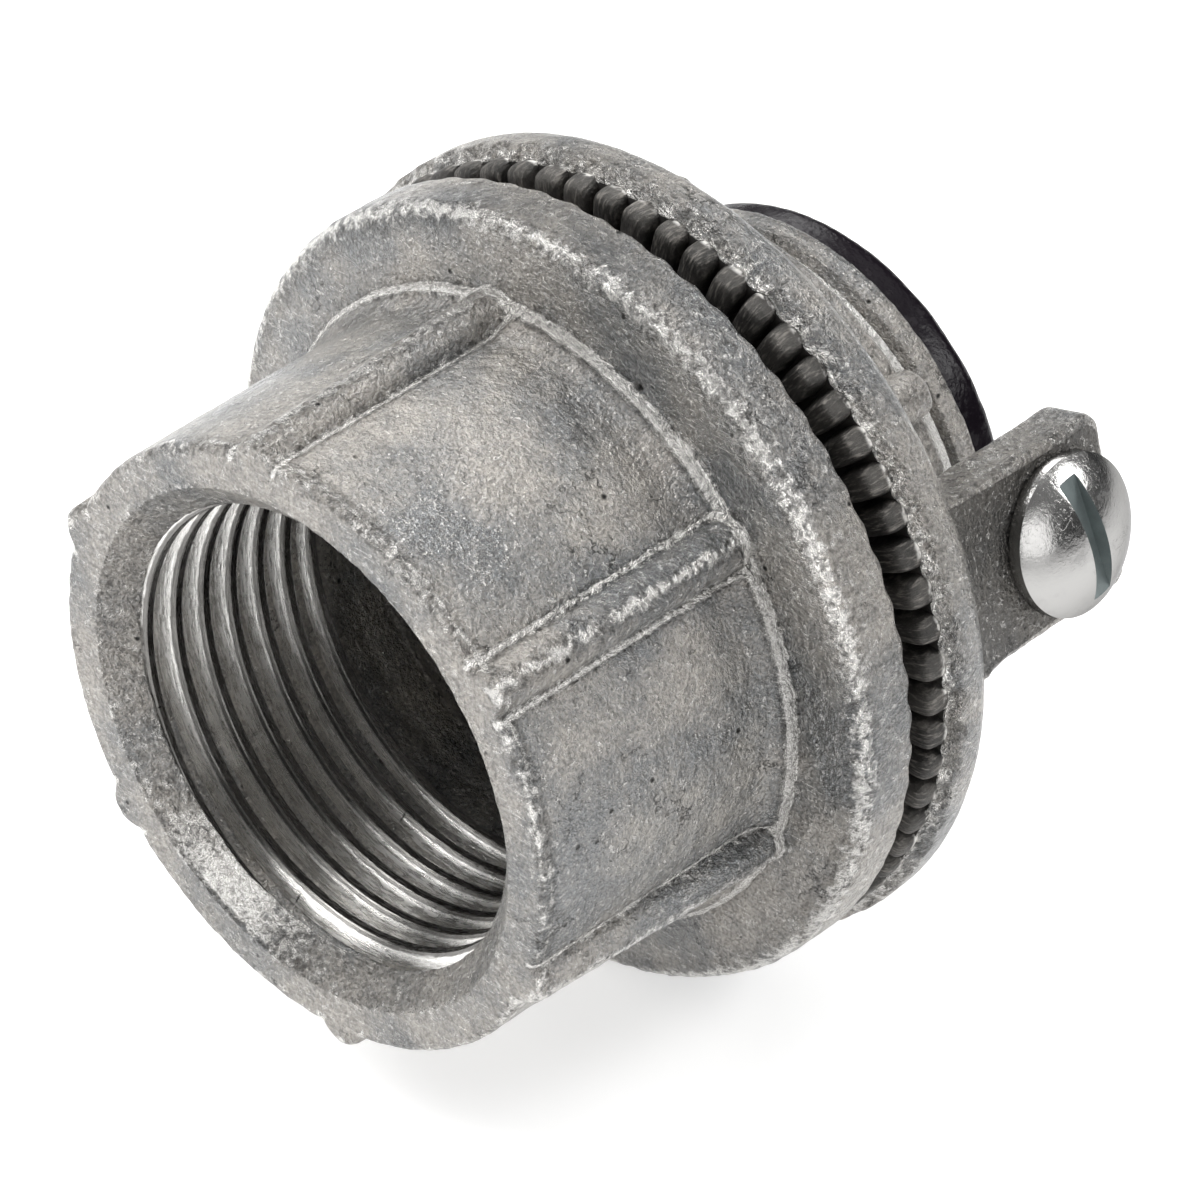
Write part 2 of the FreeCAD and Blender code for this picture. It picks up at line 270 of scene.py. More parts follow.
class ScrewSizes(bpy.types.PropertyGroup):
    """Sizes of the ground screw."""
    head_radius: length("Head radius", "Radius of the screw's head", 4.0)
    head_side: length("Head side", "Height of the head's straight side", 0.85)
    head_dome: length("Head dome", "Height of the head's dome", 1.4)
    head_seat: length("Head seat", "Gap between head and tab", 0.05)
    slot_width: length("Slot width", "Width of the driver slot", 1.2)
    slot_depth: length("Slot depth", "Depth of the driver slot", 0.9)
    slot_angle: turn("Slot angle", "Angle of the slot from across the tab", 8.0)
    slot_edge: length("Slot edge", "Rounding of the slot's edges", 0.07)
    shank_radius: length("Shank radius", "Radius of the thread's crests", 2.05)
    shank_root: length("Shank root", "Radius of the thread's roots", 1.62)
    shank_length: length("Shank length", "Length of the shank under the head", 4.6)
    pitch: length("Pitch", "Pitch of the screw's thread", 0.79375)


class ThroatSizes(bpy.types.PropertyGroup):
    """Sizes of the insulating throat and the sealing ring."""
    bore: length("Bore", "Radius of the wire way", 10.1)
    skirt_radius: length("Skirt radius", "Radius of the skirt in the nipple", 11.1)
    lip_round: length("Lip edge", "Rounding of the insulator's lip", 0.9)
    lip_wobble: length("Lip wobble", "Unevenness of the moulded lip", 0.12)
    seal_edge: length("Seal edge", "Rounding of the sealing ring", 0.45)


class Finishes(bpy.types.PropertyGroup):
    """Colours of the finishes, as linear values."""
    cast_light: colour("Cast light", "Bare zinc where it is pale and warm", 0.47, 0.439, 0.4)
    cast_dark: colour("Cast dark", "Blue-grey patches of the zinc", 0.2, 0.209, 0.216)
    # Tab colours: a darker copy of the zinc for the tab's outer face, painted shade
    tab_shade_light: colour("Tab light", "Stained zinc of the tab where it is pale", 0.15, 0.14, 0.126)
    tab_shade_dark: colour("Tab dark", "Stained zinc of the tab where it is dark", 0.075, 0.076, 0.076)
    # Also the colour of painted highlights: lines on rib feet and lip, the chamfer's lit side, glint flecks
    # and tooth tips
    cast_worn_and_highlight: colour("Cast worn", "Bright metal on worn edges", 0.82, 0.805, 0.775)
    # Dark colour painted as shade in the grain's low spots, and laid in the low spots of the lumps on worn
    # and rough places
    cast_dark_lows: colour("Cast grime", "Dirt in the hollows of rough places", 0.07, 0.066, 0.062)
    cast_hollow: colour("Cast hollows", "Dark fissures and pits", 0.025, 0.024, 0.023)
    thread_light: colour("Thread light", "Freshly cut thread", 0.84, 0.825, 0.8)
    # Dark colour of the crests: uncut metal, and painted shade for the dark they reflect
    thread_crest_dark_and_shade: colour("Thread dark", "Uncut crests of the thread", 0.11, 0.106, 0.1)
    thread_nick: colour("Thread nicks", "Small dark nicks across the thread", 0.02, 0.02, 0.02)
    # Dark tooth colours: painted shade for the teeth in the gap behind the flange
    tooth_shade_light: colour("Tooth light", "Sheared flanks of the teeth", 0.1, 0.095, 0.088)
    tooth_shade_dark: colour("Tooth dark", "Darkened flanks of the teeth", 0.035, 0.034, 0.033)
    plastic: colour("Insulator", "Black plastic with a faint purple tint", 0.006, 0.004, 0.0065)
    plastic_scuffed: colour("Insulator scuffs", "Scuffed plastic", 0.1, 0.093, 0.098)
    rubber: colour("Seal", "Black rubber", 0.016, 0.016, 0.016)
    rubber_dusty: colour("Seal bloom", "Dull bloom on the rubber", 0.035, 0.035, 0.034)
    screw_bright: colour("Screw", "Bright plating", 0.37, 0.365, 0.357)
    screw_dull: colour("Screw smears", "Dull plating", 0.2, 0.2, 0.2)
    screw_speck: colour("Screw specks", "Dark specks in the plating", 0.1, 0.1, 0.1)
    # Slot colours: painted shade down in the driver slot
    slot_shade_light: colour("Slot light", "Blue-grey plating of the slot", 0.16, 0.19, 0.19)
    slot_shade_dark: colour("Slot dark", "Darker plating of the slot", 0.10, 0.122, 0.122)


class Studio(bpy.types.PropertyGroup):
    """Camera, floor and light."""
    camera_place: FloatVectorProperty(
        name="Camera place", description="Where the camera stands", unit="LENGTH",
        subtype="TRANSLATION", default=(157.09 * MM, -166.51 * MM, 166.34 * MM),
    )
    camera_tilt: turn("Camera tilt", "Angle of the view from straight down", 53.713)
    camera_turn: turn("Camera turn", "Turn of the view round the vertical", 43.205)
    camera_lens: FloatProperty(
        name="Lens", description="Focal length in millimetres", default=175.56, unit="CAMERA",
    )
    floor_colour: colour("Floor", "Pale studio floor", 0.90, 0.90, 0.90)
    floor_size: length("Floor size", "Side of the floor", 3000.0)
    sky_low: colour("Low sky", "Light from low down all round", 0.16, 0.165, 0.17)
    sky_high: colour("High sky", "Light from above", 1.0, 1.0, 1.0)
    sky_strength: FloatProperty(
        name="Sky strength", description="Strength of the light from all round", default=0.35,
        subtype="FACTOR", min=0.0,
    )


# Meshes

Corner = namedtuple(
    "Corner", "radius place round wear step slot rough",
    defaults=(0.0, 0.0, HIDDEN_STEP, CAST_SLOT, 0.0),
)
Outline = namedtuple("Outline", "radius place wear slot owner")
Shell = namedtuple("Shell", "points faces wear slots")


def rounded_outline(corners):
    """Sample a closed outline.

    A corner's step, slot, roughness and number hold for its arc and the run after it. Wear, with painted
    highlights laid in the same way, is strongest on a corner and fades over a short reach; a run's roughness
    is the least wear on it.
    """
    points = [Vector((c.radius, c.place)) for c in corners]
    arcs = []
    for i, corner in enumerate(corners):
        back = (points[i - 1] - points[i]).normalized()
        ahead = (points[(i + 1) % len(points)] - points[i]).normalized()
        if corner.round == 0.0:
            arcs.append([points[i]])
            continue
        half = back.angle(ahead) / 2
        sweep = math.pi - 2 * half
        centre = points[i] + (back + ahead).normalized() * (corner.round / math.sin(half))
        first = points[i] + back * (corner.round / math.tan(half)) - centre
        last = points[i] + ahead * (corner.round / math.tan(half)) - centre
        steps = max(LEAST_ARC_STEPS, math.ceil(sweep / ARC_STEP))
        shares = [t / steps for t in range(steps + 1)]
        arcs.append([
            centre + (first * math.sin((1 - t) * sweep) + last * math.sin(t * sweep)) / math.sin(sweep)
            for t in shares
        ])
    samples = []
    owners = []
    middles = []
    for i, arc in enumerate(arcs):
        middles.append(len(samples) + len(arc) // 2)
        following = arcs[(i + 1) % len(arcs)][0]
        steps = max(1, round((following - arc[-1]).length / corners[i].step))
        run = [arc[-1].lerp(following, t / steps) for t in range(1, steps)]
        samples += arc + run
        owners += [i] * (len(arc) + len(run))
    places = np.array(samples)
    owner = np.array(owners)
    along = np.concatenate([[0.0], np.cumsum(np.linalg.norm(np.diff(places, axis=0), axis=1))])
    wear = np.array([c.rough for c in corners])[owner]
    for corner, middle in zip(corners, middles):
        reach = WEAR_REACH + corner.round / 2
        wear = np.maximum(wear, corner.wear * np.exp(-(((along - along[middle]) / reach) ** 2)))
    slot = np.array([c.slot for c in corners])[owner]
    return Outline(places[:, 0], places[:, 1], wear, slot, owner)


def closed_grid(points, wear, slots):
    """Shell of a grid of points that closes on itself both ways."""
    rings, steps = points.shape[:2]
    index = np.arange(rings * steps).reshape(rings, steps)
    across = np.roll(index, -1, axis=0)
    faces = np.stack([index, across, np.roll(across, -1, axis=1), np.roll(index, -1, axis=1)], axis=-1)
    return outward(Shell(points.reshape(-1, 3), faces.reshape(-1, 4), wear.ravel(), np.tile(slots, rings)))


def outward(shell):
    """The same shell with its faces turned to point out of it."""
    a, b, c, d = (shell.points[shell.faces[:, k]] for k in range(4))
    volume = np.einsum("ij,ij->", a, np.cross(b, c)) + np.einsum("ij,ij->", a, np.cross(c, d))
    return shell if volume > 0 else shell._replace(faces=shell.faces[:, ::-1])


def joined(*shells):
    """Several shells as one."""
    starts = np.cumsum([0] + [len(s.points) for s in shells[:-1]])
    return Shell(
        np.concatenate([s.points for s in shells]),
        np.concatenate([s.faces + start for s, start in zip(shells, starts)]),
        np.concatenate([s.wear for s in shells]),
        np.concatenate([s.slots for s in shells]),
    )


def even_angles(steps):
    """Angles once round the axis."""
    return np.arange(steps) * (2 * math.pi / steps)


def angles_round_ridges(ridges, phase, half_zone, fine, coarse):
    """Angles round the axis that lie closer together over each ridge."""
    sector = 2 * math.pi / ridges
    zone = np.linspace(-half_zone, half_zone, fine, endpoint=False)
    panel = np.linspace(half_zone, sector - half_zone, coarse, endpoint=False)
    one = np.concatenate([zone, panel])
    return np.concatenate([phase + i * sector + one for i in range(ridges)])


def turned_points(angles, radius, place):
    """Points round the hub axis. Radius and place are one row for each angle."""
    return np.stack([
        radius * np.cos(angles)[:, None],
        place,
        radius * np.sin(angles)[:, None],
    ], axis=-1)


def smooth_larger(a, b, blend):
    """The larger of two heights, with a fillet where they cross."""
    share = np.clip(0.5 + 0.5 * (b - a) / blend, 0.0, 1.0)
    return a + (b - a) * share + blend * share * (1.0 - share)


def bell(distance, width):
    """One at no distance, fading to nothing over a width."""
    return np.exp(-((distance / width) ** 2))


def ridge_lift(angles, wall, ridges, phase, width, crest, fillet):
    """How far round-topped ridges lift a turned wall, and how bright each angle is painted: wear on the
    crests, a painted highlight along the feet.
    """
    half = width / 2
    sector = 2 * math.pi / ridges
    turned = (angles - phase + sector / 2) % sector - sector / 2
    off = crest.mean() * np.sin(turned)
    top = np.sqrt(np.clip(half ** 2 - off ** 2, 0.0, None))
    height = (crest[None, :] - half + top[:, None]) / np.cos(turned)[:, None]
    wall = np.broadcast_to(wall, height.shape)
    height = np.where((np.abs(off) < half)[:, None], height, wall - 2 * fillet)
    on_crest = CREST_WEAR * bell(off, CREST_WEAR_WIDTH * half)
    # A bright line along each foot: a painted highlight where the fillet catches the light
    foot_highlight = FOOT_HIGHLIGHT * bell(np.abs(off) - FOOT_HIGHLIGHT_PLACE * half, FOOT_HIGHLIGHT_WIDTH * half)
    near = np.maximum(on_crest, foot_highlight)[:, None]
    return smooth_larger(wall, height, fillet) - wall, near


def link_object(name, data):
    """An object of the scene for a mesh, a camera or a light."""
    made = bpy.data.objects.new(name, data)
    bpy.context.scene.collection.objects.link(made)
    return made


def smooth_faces(mesh):
    """Shade every face of a mesh smooth."""
    mesh.polygons.foreach_set("use_smooth", np.ones(len(mesh.polygons), dtype=bool))


def make_object(name, shell, materials):
    """Link a mesh object with smooth faces, its materials and its wear, which also holds painted highlights.
    """
    mesh = bpy.data.meshes.new(name)
    mesh.from_pydata(shell.points.tolist(), [], shell.faces.tolist())
    for material in materials:
        mesh.materials.append(material)
    mesh.polygons.foreach_set("material_index", shell.slots[:len(mesh.polygons)].astype(np.int32))
    smooth_faces(mesh)
    mesh.attributes.new("wear", "FLOAT", "POINT").data.foreach_set("value", shell.wear.astype(np.float32))
    mesh.update()
    return link_object(name, mesh)


def grow(made, tree, values):
    """Run a geometry node tree on an object, with inputs by name, and keep the result as its mesh."""
    modifier = made.modifiers.new(tree.name, "NODES")
    modifier.node_group = tree
    for item in tree.interface.items_tree:
        if item.item_type == "SOCKET" and item.in_out == "INPUT" and item.name in values:
            modifier[item.identifier] = values[item.name]
    bake_modifiers(made)


def bake_modifiers(made):
    """Keep an object's evaluated mesh and take its modifiers and empty material slots off."""
    grown = made.evaluated_get(bpy.context.evaluated_depsgraph_get())
    mesh = bpy.data.meshes.new_from_object(grown)
    made.modifiers.clear()
    old = made.data
    made.data = mesh
    bpy.data.meshes.remove(old)
    mesh.name = made.name
    for index in reversed(range(len(mesh.materials))):
        if mesh.materials[index] is None:
            mesh.materials.pop(index=index)
    if len(mesh.polygons) == 0:
        raise RuntimeError(made.name + " came out empty")


def place_piece(made, body, slot, *nodes):
    """A finished piece rides on its body and stands for its solids; the slot is not used."""
    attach(made, body)
    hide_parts(*nodes)


# Node trees

def add(tree, kind, inputs=None, **options):
    """Add a node, set its options, and fill its inputs with values or links."""
    made = tree.nodes.new(kind)
    for key, value in options.items():
        setattr(made, key, value)
    for key, value in (inputs or {}).items():
        if isinstance(value, bpy.types.NodeSocket):
            tree.links.new(value, made.inputs[key])
        else:
            made.inputs[key].default_value = value
    return made


def result(tree, kind, inputs=None, **options):
    """First output of a new node."""
    return add(tree, kind, inputs, **options).outputs[0]


def connect(tree, node, **sockets):
    """Link values to a node's inputs, whose names have _ for a space here."""
    for name, socket in sockets.items():
        tree.links.new(socket, node.inputs[name.replace("_", " ")])


def maths(tree, operation, a, b=0.0, c=0.0):
    return result(tree, "ShaderNodeMath", {0: a, 1: b, 2: c}, operation=operation)


def times(tree, a, b):
    return maths(tree, "MULTIPLY", a, b)


def times_plus(tree, a, b, c):
    """a times b, plus c."""
    return maths(tree, "MULTIPLY_ADD", a, b, c)


def scaled(tree, vector, factor):
    return result(tree, "ShaderNodeVectorMath", {0: vector, "Scale": factor}, operation="SCALE")


def vector_of(tree, x=0.0, y=0.0, z=0.0):
    return result(tree, "ShaderNodeCombineXYZ", {0: x, 1: y, 2: z})


def axes_of(tree, vector):
    return add(tree, "ShaderNodeSeparateXYZ", {0: vector}).outputs


def remap(tree, value, low, high, to_low=0.0, to_high=1.0):
    """Ease a value from one range to another."""
    inputs = {"Value": value, "From Min": low, "From Max": high, "To Min": to_low, "To Max": to_high}
    return result(tree, "ShaderNodeMapRange", inputs, interpolation_type="SMOOTHSTEP")


def noise(tree, place, scale, detail=3.0, roughness=0.55):
    inputs = {"Vector": place, "Scale": scale, "Detail": detail, "Roughness": roughness}
    return result(tree, "ShaderNodeTexNoise", inputs)


def mix(tree, share, a, b):
    return add(tree, "ShaderNodeMix", {0: share, 6: a, 7: b}, data_type="RGBA").outputs[2]


def group_tree(name, kind, inputs, outputs):
    """Start a node group with named sockets. Returns the tree, its inputs and its output node.

    An input is given with its default, or with the name of its type where it has none.
    """
    tree = bpy.data.node_groups.new(name, kind)
    types = {float: "Float", int: "Int", tuple: "Color"}
    for socket, default in inputs.items():
        socket_type = types.get(type(default), default)
        made = tree.interface.new_socket(socket, in_out="INPUT", socket_type="NodeSocket" + socket_type)
        if socket_type != default:
            made.default_value = default
    for socket, socket_type in outputs.items():
        tree.interface.new_socket(socket, in_out="OUTPUT", socket_type="NodeSocket" + socket_type)
    given = tree.nodes.new("NodeGroupInput").outputs
    return tree, given, tree.nodes.new("NodeGroupOutput")


def use_group(tree, group, inputs):
    """Outputs of a node group that is placed in a tree."""
    kind = tree.bl_idname.replace("Tree", "Group")
    return add(tree, kind, inputs, node_tree=group).outputs


def shared_tree(label, maker):
    """A node group that is made at its first use."""
    return bpy.data.node_groups.get(label) or maker()


def transformed(tree, geometry, **inputs):
    return result(tree, "GeometryNodeTransform", {"Geometry": geometry, **inputs})


def stored(tree, geometry, name, value, data_type, domain="POINT"):
    """The same geometry with a named attribute."""
    inputs = {"Geometry": geometry, "Name": name, "Value": value}
    return result(tree, "GeometryNodeStoreNamedAttribute", inputs, data_type=data_type, domain=domain)


def read(tree, name, data_type):
    """A named attribute of the geometry."""
    return result(tree, "GeometryNodeInputNamedAttribute", {"Name": name}, data_type=data_type)


def coated(tree, geometry, material, selection=True):
    """The same geometry with a material on the chosen faces."""
    inputs = {"Geometry": geometry, "Selection": selection, "Material": material}
    return result(tree, "GeometryNodeSetMaterial", inputs)


def whole(tree, *parts):
    """Several geometries joined, as real faces."""
    join = add(tree, "GeometryNodeJoinGeometry")
    for part in parts:
        tree.links.new(part, join.inputs[0])
    return result(tree, "GeometryNodeRealizeInstances", {"Geometry": join.outputs[0]})


SKIN_INPUTS = {
    "Geometry": "Geometry",
    "Wave height": 0.05 * MM,
    "Wave size": 2.6 * MM,
    "Grain height": 0.02 * MM,
    "Grain size": 0.55 * MM,
    "Ragged height": 0.16 * MM,
    "Ragged size": 0.8 * MM,
}


def skin_tree():
    """Uneven surface of a casting or a moulding: gentle waves, fine grain and ragged worn edges."""
    tree, given, out = group_tree("Skin", "GeometryNodeTree", SKIN_INPUTS, {"Geometry": "Geometry"})
    place = result(tree, "GeometryNodeInputPosition")
    wear = read(tree, "wear", "FLOAT")
    rubbed_smooth = remap(tree, wear, 0.95, 1.1, 1.0, 0.2)
    ragged = times(tree, wear, rubbed_smooth)
    height = 0.0
    for layer, detail, share in (("Wave", 2.0, 1.0), ("Grain", 2.0, 1.0), ("Ragged", 3.0, ragged)):
        wave = noise(tree, place, maths(tree, "DIVIDE", 1.0, given[layer + " size"]), detail)
        rise = times(tree, maths(tree, "SUBTRACT", wave, 0.5), given[layer + " height"])
        height = times_plus(tree, times(tree, rise, 2.0), share, height)
    normal = result(tree, "GeometryNodeInputNormal")
    moved = result(tree, "GeometryNodeSetPosition", {
        "Geometry": given["Geometry"], "Offset": scaled(tree, normal, height),
    })
    connect(tree, out, Geometry=moved)
    return tree


def thread_ridge_tree():
    """Right-handed ridge of a screw thread round Z, swept along a spiral and fading at both ends."""
    tree, given, out = group_tree("Thread ridge", "GeometryNodeTree", {
        "Root radius": 13.0 * MM,
        "Height": 1.0 * MM,
        "Outward": 1.0,
        "Pitch": 1.8 * MM,
        "Turns": 6.0,
        "Start": 0.0,
        "Crest": 0.25 * MM,
        "Base": 1.7 * MM,
        "Embed": 0.06 * MM,
        "Lead": 0.25,
        "Steps": 84,
    }, {"Mesh": "Geometry"})
    spiral = result(tree, "GeometryNodeCurveSpiral", {
        "Resolution": given["Steps"],
        "Rotations": given["Turns"],
        "Start Radius": given["Root radius"],
        "End Radius": given["Root radius"],
        "Height": times(tree, given["Turns"], given["Pitch"]),
        "Reverse": True,
    })
    path = result(tree, "GeometryNodeSetCurveNormal", {"Curve": spiral}, mode="Z_UP")

    # The section: its root a little inside the wall, its corners eased
    tall = maths(tree, "ADD", given["Height"], given["Embed"])
    section = result(tree, "GeometryNodeCurvePrimitiveQuadrilateral", {
        "Height": tall,
        "Bottom Width": given["Base"],
        "Top Width": given["Crest"],
        "Offset": 0.0,
    }, mode="TRAPEZOID")
    lift = maths(tree, "SUBTRACT", times(tree, tall, 0.5), given["Embed"])
    section = transformed(tree, section, Translation=vector_of(tree, y=lift))
    section = result(tree, "GeometryNodeFilletCurve", {
        "Curve": section,
        "Radius": times(tree, given["Crest"], 0.16),
        "Limit Radius": True,
        "Count": 1,
    }, mode="POLY")
    local = axes_of(tree, result(tree, "GeometryNodeInputPosition"))
    flank = maths(tree, "DIVIDE", local["Y"], given["Height"])
    section = stored(tree, section, "flank", flank, "FLOAT")
    section = stored(tree, section, "wear", remap(tree, flank, 0.9, 1.0, 0.0, 1.2), "FLOAT")
    facing = times(tree, given["Outward"], -math.pi / 2)
    section = transformed(tree, section, Rotation=vector_of(tree, z=facing))

    along = result(tree, "GeometryNodeSplineParameter")
    nearest = maths(tree, "MINIMUM", along, maths(tree, "SUBTRACT", 1.0, along))
    fade = remap(tree, times(tree, nearest, given["Turns"]), 0.0, given["Lead"], 0.03, 1.0)
    ridge = result(tree, "GeometryNodeCurveToMesh", {
        "Curve": path, "Profile Curve": section, "Scale": fade, "Fill Caps": True,
    })
    bend = result(tree, "GeometryNodeInputMeshEdgeAngle")
    ridge = result(tree, "GeometryNodeSetShadeSmooth", {
        "Geometry": ridge,
        "Selection": maths(tree, "GREATER_THAN", bend, SHARP_BEND),
        "Shade Smooth": False,
    }, domain="EDGE")
    connect(tree, out, Mesh=transformed(tree, ridge, Translation=vector_of(tree, z=given["Start"])))
    return tree


def pipe_thread(tree, given, ridge, name, outward_sign, lead, is_cut):
    """A pipe thread round the hub axis, from a tree's named inputs, its faces marked as cut or as cast."""
    thread = use_group(tree, ridge, {
        "Root radius": given[name + " root"],
        "Height": given[name + " height"],
        "Outward": outward_sign,
        "Pitch": given["Pitch"],
        "Turns": given[name + " turns"],
        "Start": given[name + " start"],
        "Crest": given["Crest"],
        "Base": maths(tree, "SUBTRACT", given["Pitch"], given["Root"]),
        "Lead": lead,
    })[0]
    upright = transformed(tree, thread, Rotation=Z_TO_HUB_AXIS)
    return stored(tree, upright, "is_cut", is_cut, "BOOLEAN", "FACE")


def hub_tree(skin, ridge, cast_zinc, cut_zinc):
    """The hub's skin, with the socket's cut thread and the nipple's cast thread joined to it."""
    tree, given, out = group_tree("Hub casting", "GeometryNodeTree", {
        "Geometry": "Geometry",
        "Pitch": 1.8 * MM,
        "Crest": 0.5 * MM,
        "Root": 0.15 * MM,
        "Socket root": 13.2 * MM,
        "Socket height": 1.3 * MM,
        "Socket start": 0.0,
        "Socket turns": 7.0,
        "Nipple root": 12.2 * MM,
        "Nipple height": 1.0 * MM,
        "Nipple start": 0.0,
        "Nipple turns": 6.0,
    }, {"Geometry": "Geometry"})
    shell = use_group(tree, skin, {"Geometry": given["Geometry"]})[0]
    nipple = pipe_thread(tree, given, ridge, "Nipple", 1.0, SHORT_LEAD, False)
    socket = pipe_thread(tree, given, ridge, "Socket", -1.0, LONG_LEAD, True)
    casting = coated(tree, whole(tree, nipple, socket, shell), cast_zinc)
    connect(tree, out, Geometry=coated(tree, casting, cut_zinc, read(tree, "is_cut", "BOOLEAN")))
    return tree


def nut_tree(skin, ridge, shaded_tooth_zinc, cut_zinc):
    """The nut's skin, with a ring of rounded biting teeth and the bore's thread joined to it."""
    tree, given, out = group_tree("Nut casting", "GeometryNodeTree", {
        "Geometry": "Geometry",
        "Teeth": 66,
        "Phase": 0.0,
        "Radius": 20.5 * MM,
        "Length": 2.0 * MM,
        "Width": 1.7 * MM,
        "Height": 1.8 * MM,
        "Front": 1.2 * MM,
        "Unevenness": 0.1,
        "Seed": 7,
        "Pitch": 1.8 * MM,
        "Crest": 0.5 * MM,
        "Root": 0.15 * MM,
        "Bore root": 13.8 * MM,
        "Bore height": 0.5 * MM,
        "Bore start": 0.0,
        "Bore turns": 3.0,
    }, {"Geometry": "Geometry"})
    shell = use_group(tree, skin, {"Geometry": given["Geometry"]})[0]

    # One tooth: length along X, width along Y, its front face towards -Z and narrower
    size = vector_of(tree, given["Length"], given["Width"], given["Height"])
    block = result(tree, "GeometryNodeMeshCube", {"Size": size})
    tooth = result(tree, "GeometryNodeSubdivisionSurface", {"Mesh": block, "Level": 3, "Edge Crease": 0.32})
    local = result(tree, "GeometryNodeInputPosition")
    tooth = stored(tree, tooth, "tooth_place", local, "FLOAT_VECTOR")
    axes = axes_of(tree, local)
    depth = maths(tree, "DIVIDE", axes["Z"], given["Height"])
    across = times(tree, axes["Y"], times_plus(tree, depth, 0.3, 0.98))
    shaped = vector_of(tree, axes["X"], across, axes["Z"])
    tooth = result(tree, "GeometryNodeSetPosition", {"Geometry": tooth, "Position": shaped})

    # The ring of places, each turned to face outwards
    number = result(tree, "GeometryNodeInputIndex")
    middle = maths(tree, "SUBTRACT", given["Radius"], times(tree, given["Length"], 0.5))
    points = result(tree, "GeometryNodePoints", {"Count": given["Teeth"]})
    part = maths(tree, "DIVIDE", times(tree, number, 2 * math.pi), given["Teeth"])
    angle = times(tree, maths(tree, "ADD", part, given["Phase"]), -1.0)
    spot = vector_of(
        tree,
        times(tree, middle, maths(tree, "COSINE", angle)),
        times(tree, middle, maths(tree, "SINE", angle)),
        times_plus(tree, given["Height"], 0.5, given["Front"]),
    )
    points = result(tree, "GeometryNodeSetPosition", {"Geometry": points, "Position": spot})
    points = stored(tree, points, "tooth_number", number, "FLOAT")

    # Each tooth has its own size and tilt
    size_share = add(tree, "FunctionNodeRandomValue", {
        2: maths(tree, "SUBTRACT", 1.0, given["Unevenness"]),
        3: 1.0,
        "Seed": given["Seed"],
    }, data_type="FLOAT").outputs[1]
    tilt = add(tree, "FunctionNodeRandomValue", {
        2: times(tree, given["Unevenness"], -1.0),
        3: given["Unevenness"],
        "Seed": maths(tree, "ADD", given["Seed"], 1.0),
    }, data_type="FLOAT").outputs[1]
    ring = result(tree, "GeometryNodeInstanceOnPoints", {
        "Points": points,
        "Instance": tooth,
        "Rotation": vector_of(tree, x=tilt, z=angle),
        "Scale": vector_of(tree, 1.0, size_share, size_share),
    })
    ring = transformed(tree, ring, Rotation=Z_TO_HUB_AXIS)
    ring = result(tree, "GeometryNodeRealizeInstances", {"Geometry": ring})
    ring = stored(tree, ring, "is_tooth", True, "BOOLEAN", "FACE")
    ring = result(tree, "GeometryNodeSetShadeSmooth", {"Geometry": ring})

    thread = pipe_thread(tree, given, ridge, "Bore", -1.0, SHORT_LEAD, True)
    nut = whole(tree, ring, thread, shell)
    nut = coated(tree, nut, shaded_tooth_zinc, read(tree, "is_tooth", "BOOLEAN"))
    connect(tree, out, Geometry=coated(tree, nut, cut_zinc, read(tree, "is_cut", "BOOLEAN")))
    return tree


def throat_tree(skin, plastic):
    """The insulator's skin."""
    tree, given, out = group_tree("Moulded throat", "GeometryNodeTree", SKIN_INPUTS, {"Geometry": "Geometry"})
    shell = use_group(tree, skin, {name: given[name] for name in SKIN_INPUTS})[0]
    connect(tree, out, Geometry=coated(tree, whole(tree, shell), plastic))
    return tree


def screw_tree(ridge, plating, shaded_slot_plating):
    """The turned screw blank with its driver slot cut and its thread joined on, round Z."""
    tree, given, out = group_tree("Ground screw", "GeometryNodeTree", {
        "Geometry": "Geometry",
        "Slot width": 1.1 * MM,
        "Slot floor": 1.0 * MM,
        "Slot reach": 10.0 * MM,
        "Root radius": 1.6 * MM,
        "Height": 0.4 * MM,
        "Pitch": 0.8 * MM,
        "Turns": 5.0,
        "Start": -5.0 * MM,
        "Crest": 0.1 * MM,
        "Steps": 40,
    }, {"Geometry": "Geometry"})
    size = vector_of(tree, given["Slot width"], given["Slot reach"], given["Slot reach"])
    block = result(tree, "GeometryNodeMeshCube", {"Size": size})
    up = times_plus(tree, given["Slot reach"], 0.5, given["Slot floor"])
    block = transformed(tree, block, Translation=vector_of(tree, z=up))
    cut = add(tree, "GeometryNodeMeshBoolean", {
        "Mesh 1": given["Geometry"], "Mesh 2": coated(tree, block, shaded_slot_plating),
    }, operation="DIFFERENCE", solver="EXACT")
    cut_edges = times(tree, cut.outputs["Intersecting Edges"], 1.0)
    slotted = stored(tree, cut.outputs["Mesh"], "bevel_weight_edge", cut_edges, "FLOAT", "EDGE")
    thread = use_group(tree, ridge, {
        "Root radius": given["Root radius"],
        "Height": given["Height"],
        "Outward": 1.0,
        "Pitch": given["Pitch"],
        "Turns": given["Turns"],
        "Start": given["Start"],
        "Crest": given["Crest"],
        "Base": times(tree, given["Pitch"], 0.9),
        "Steps": given["Steps"],
    })[0]
    in_slot = result(tree, "GeometryNodeMaterialSelection", {"Material": shaded_slot_plating})
    elsewhere = maths(tree, "SUBTRACT", 1.0, in_slot)
    connect(tree, out, Geometry=coated(tree, whole(tree, thread, slotted), plating, elsewhere))
    return tree


# Finishes: places inside the shader groups are in millimetres

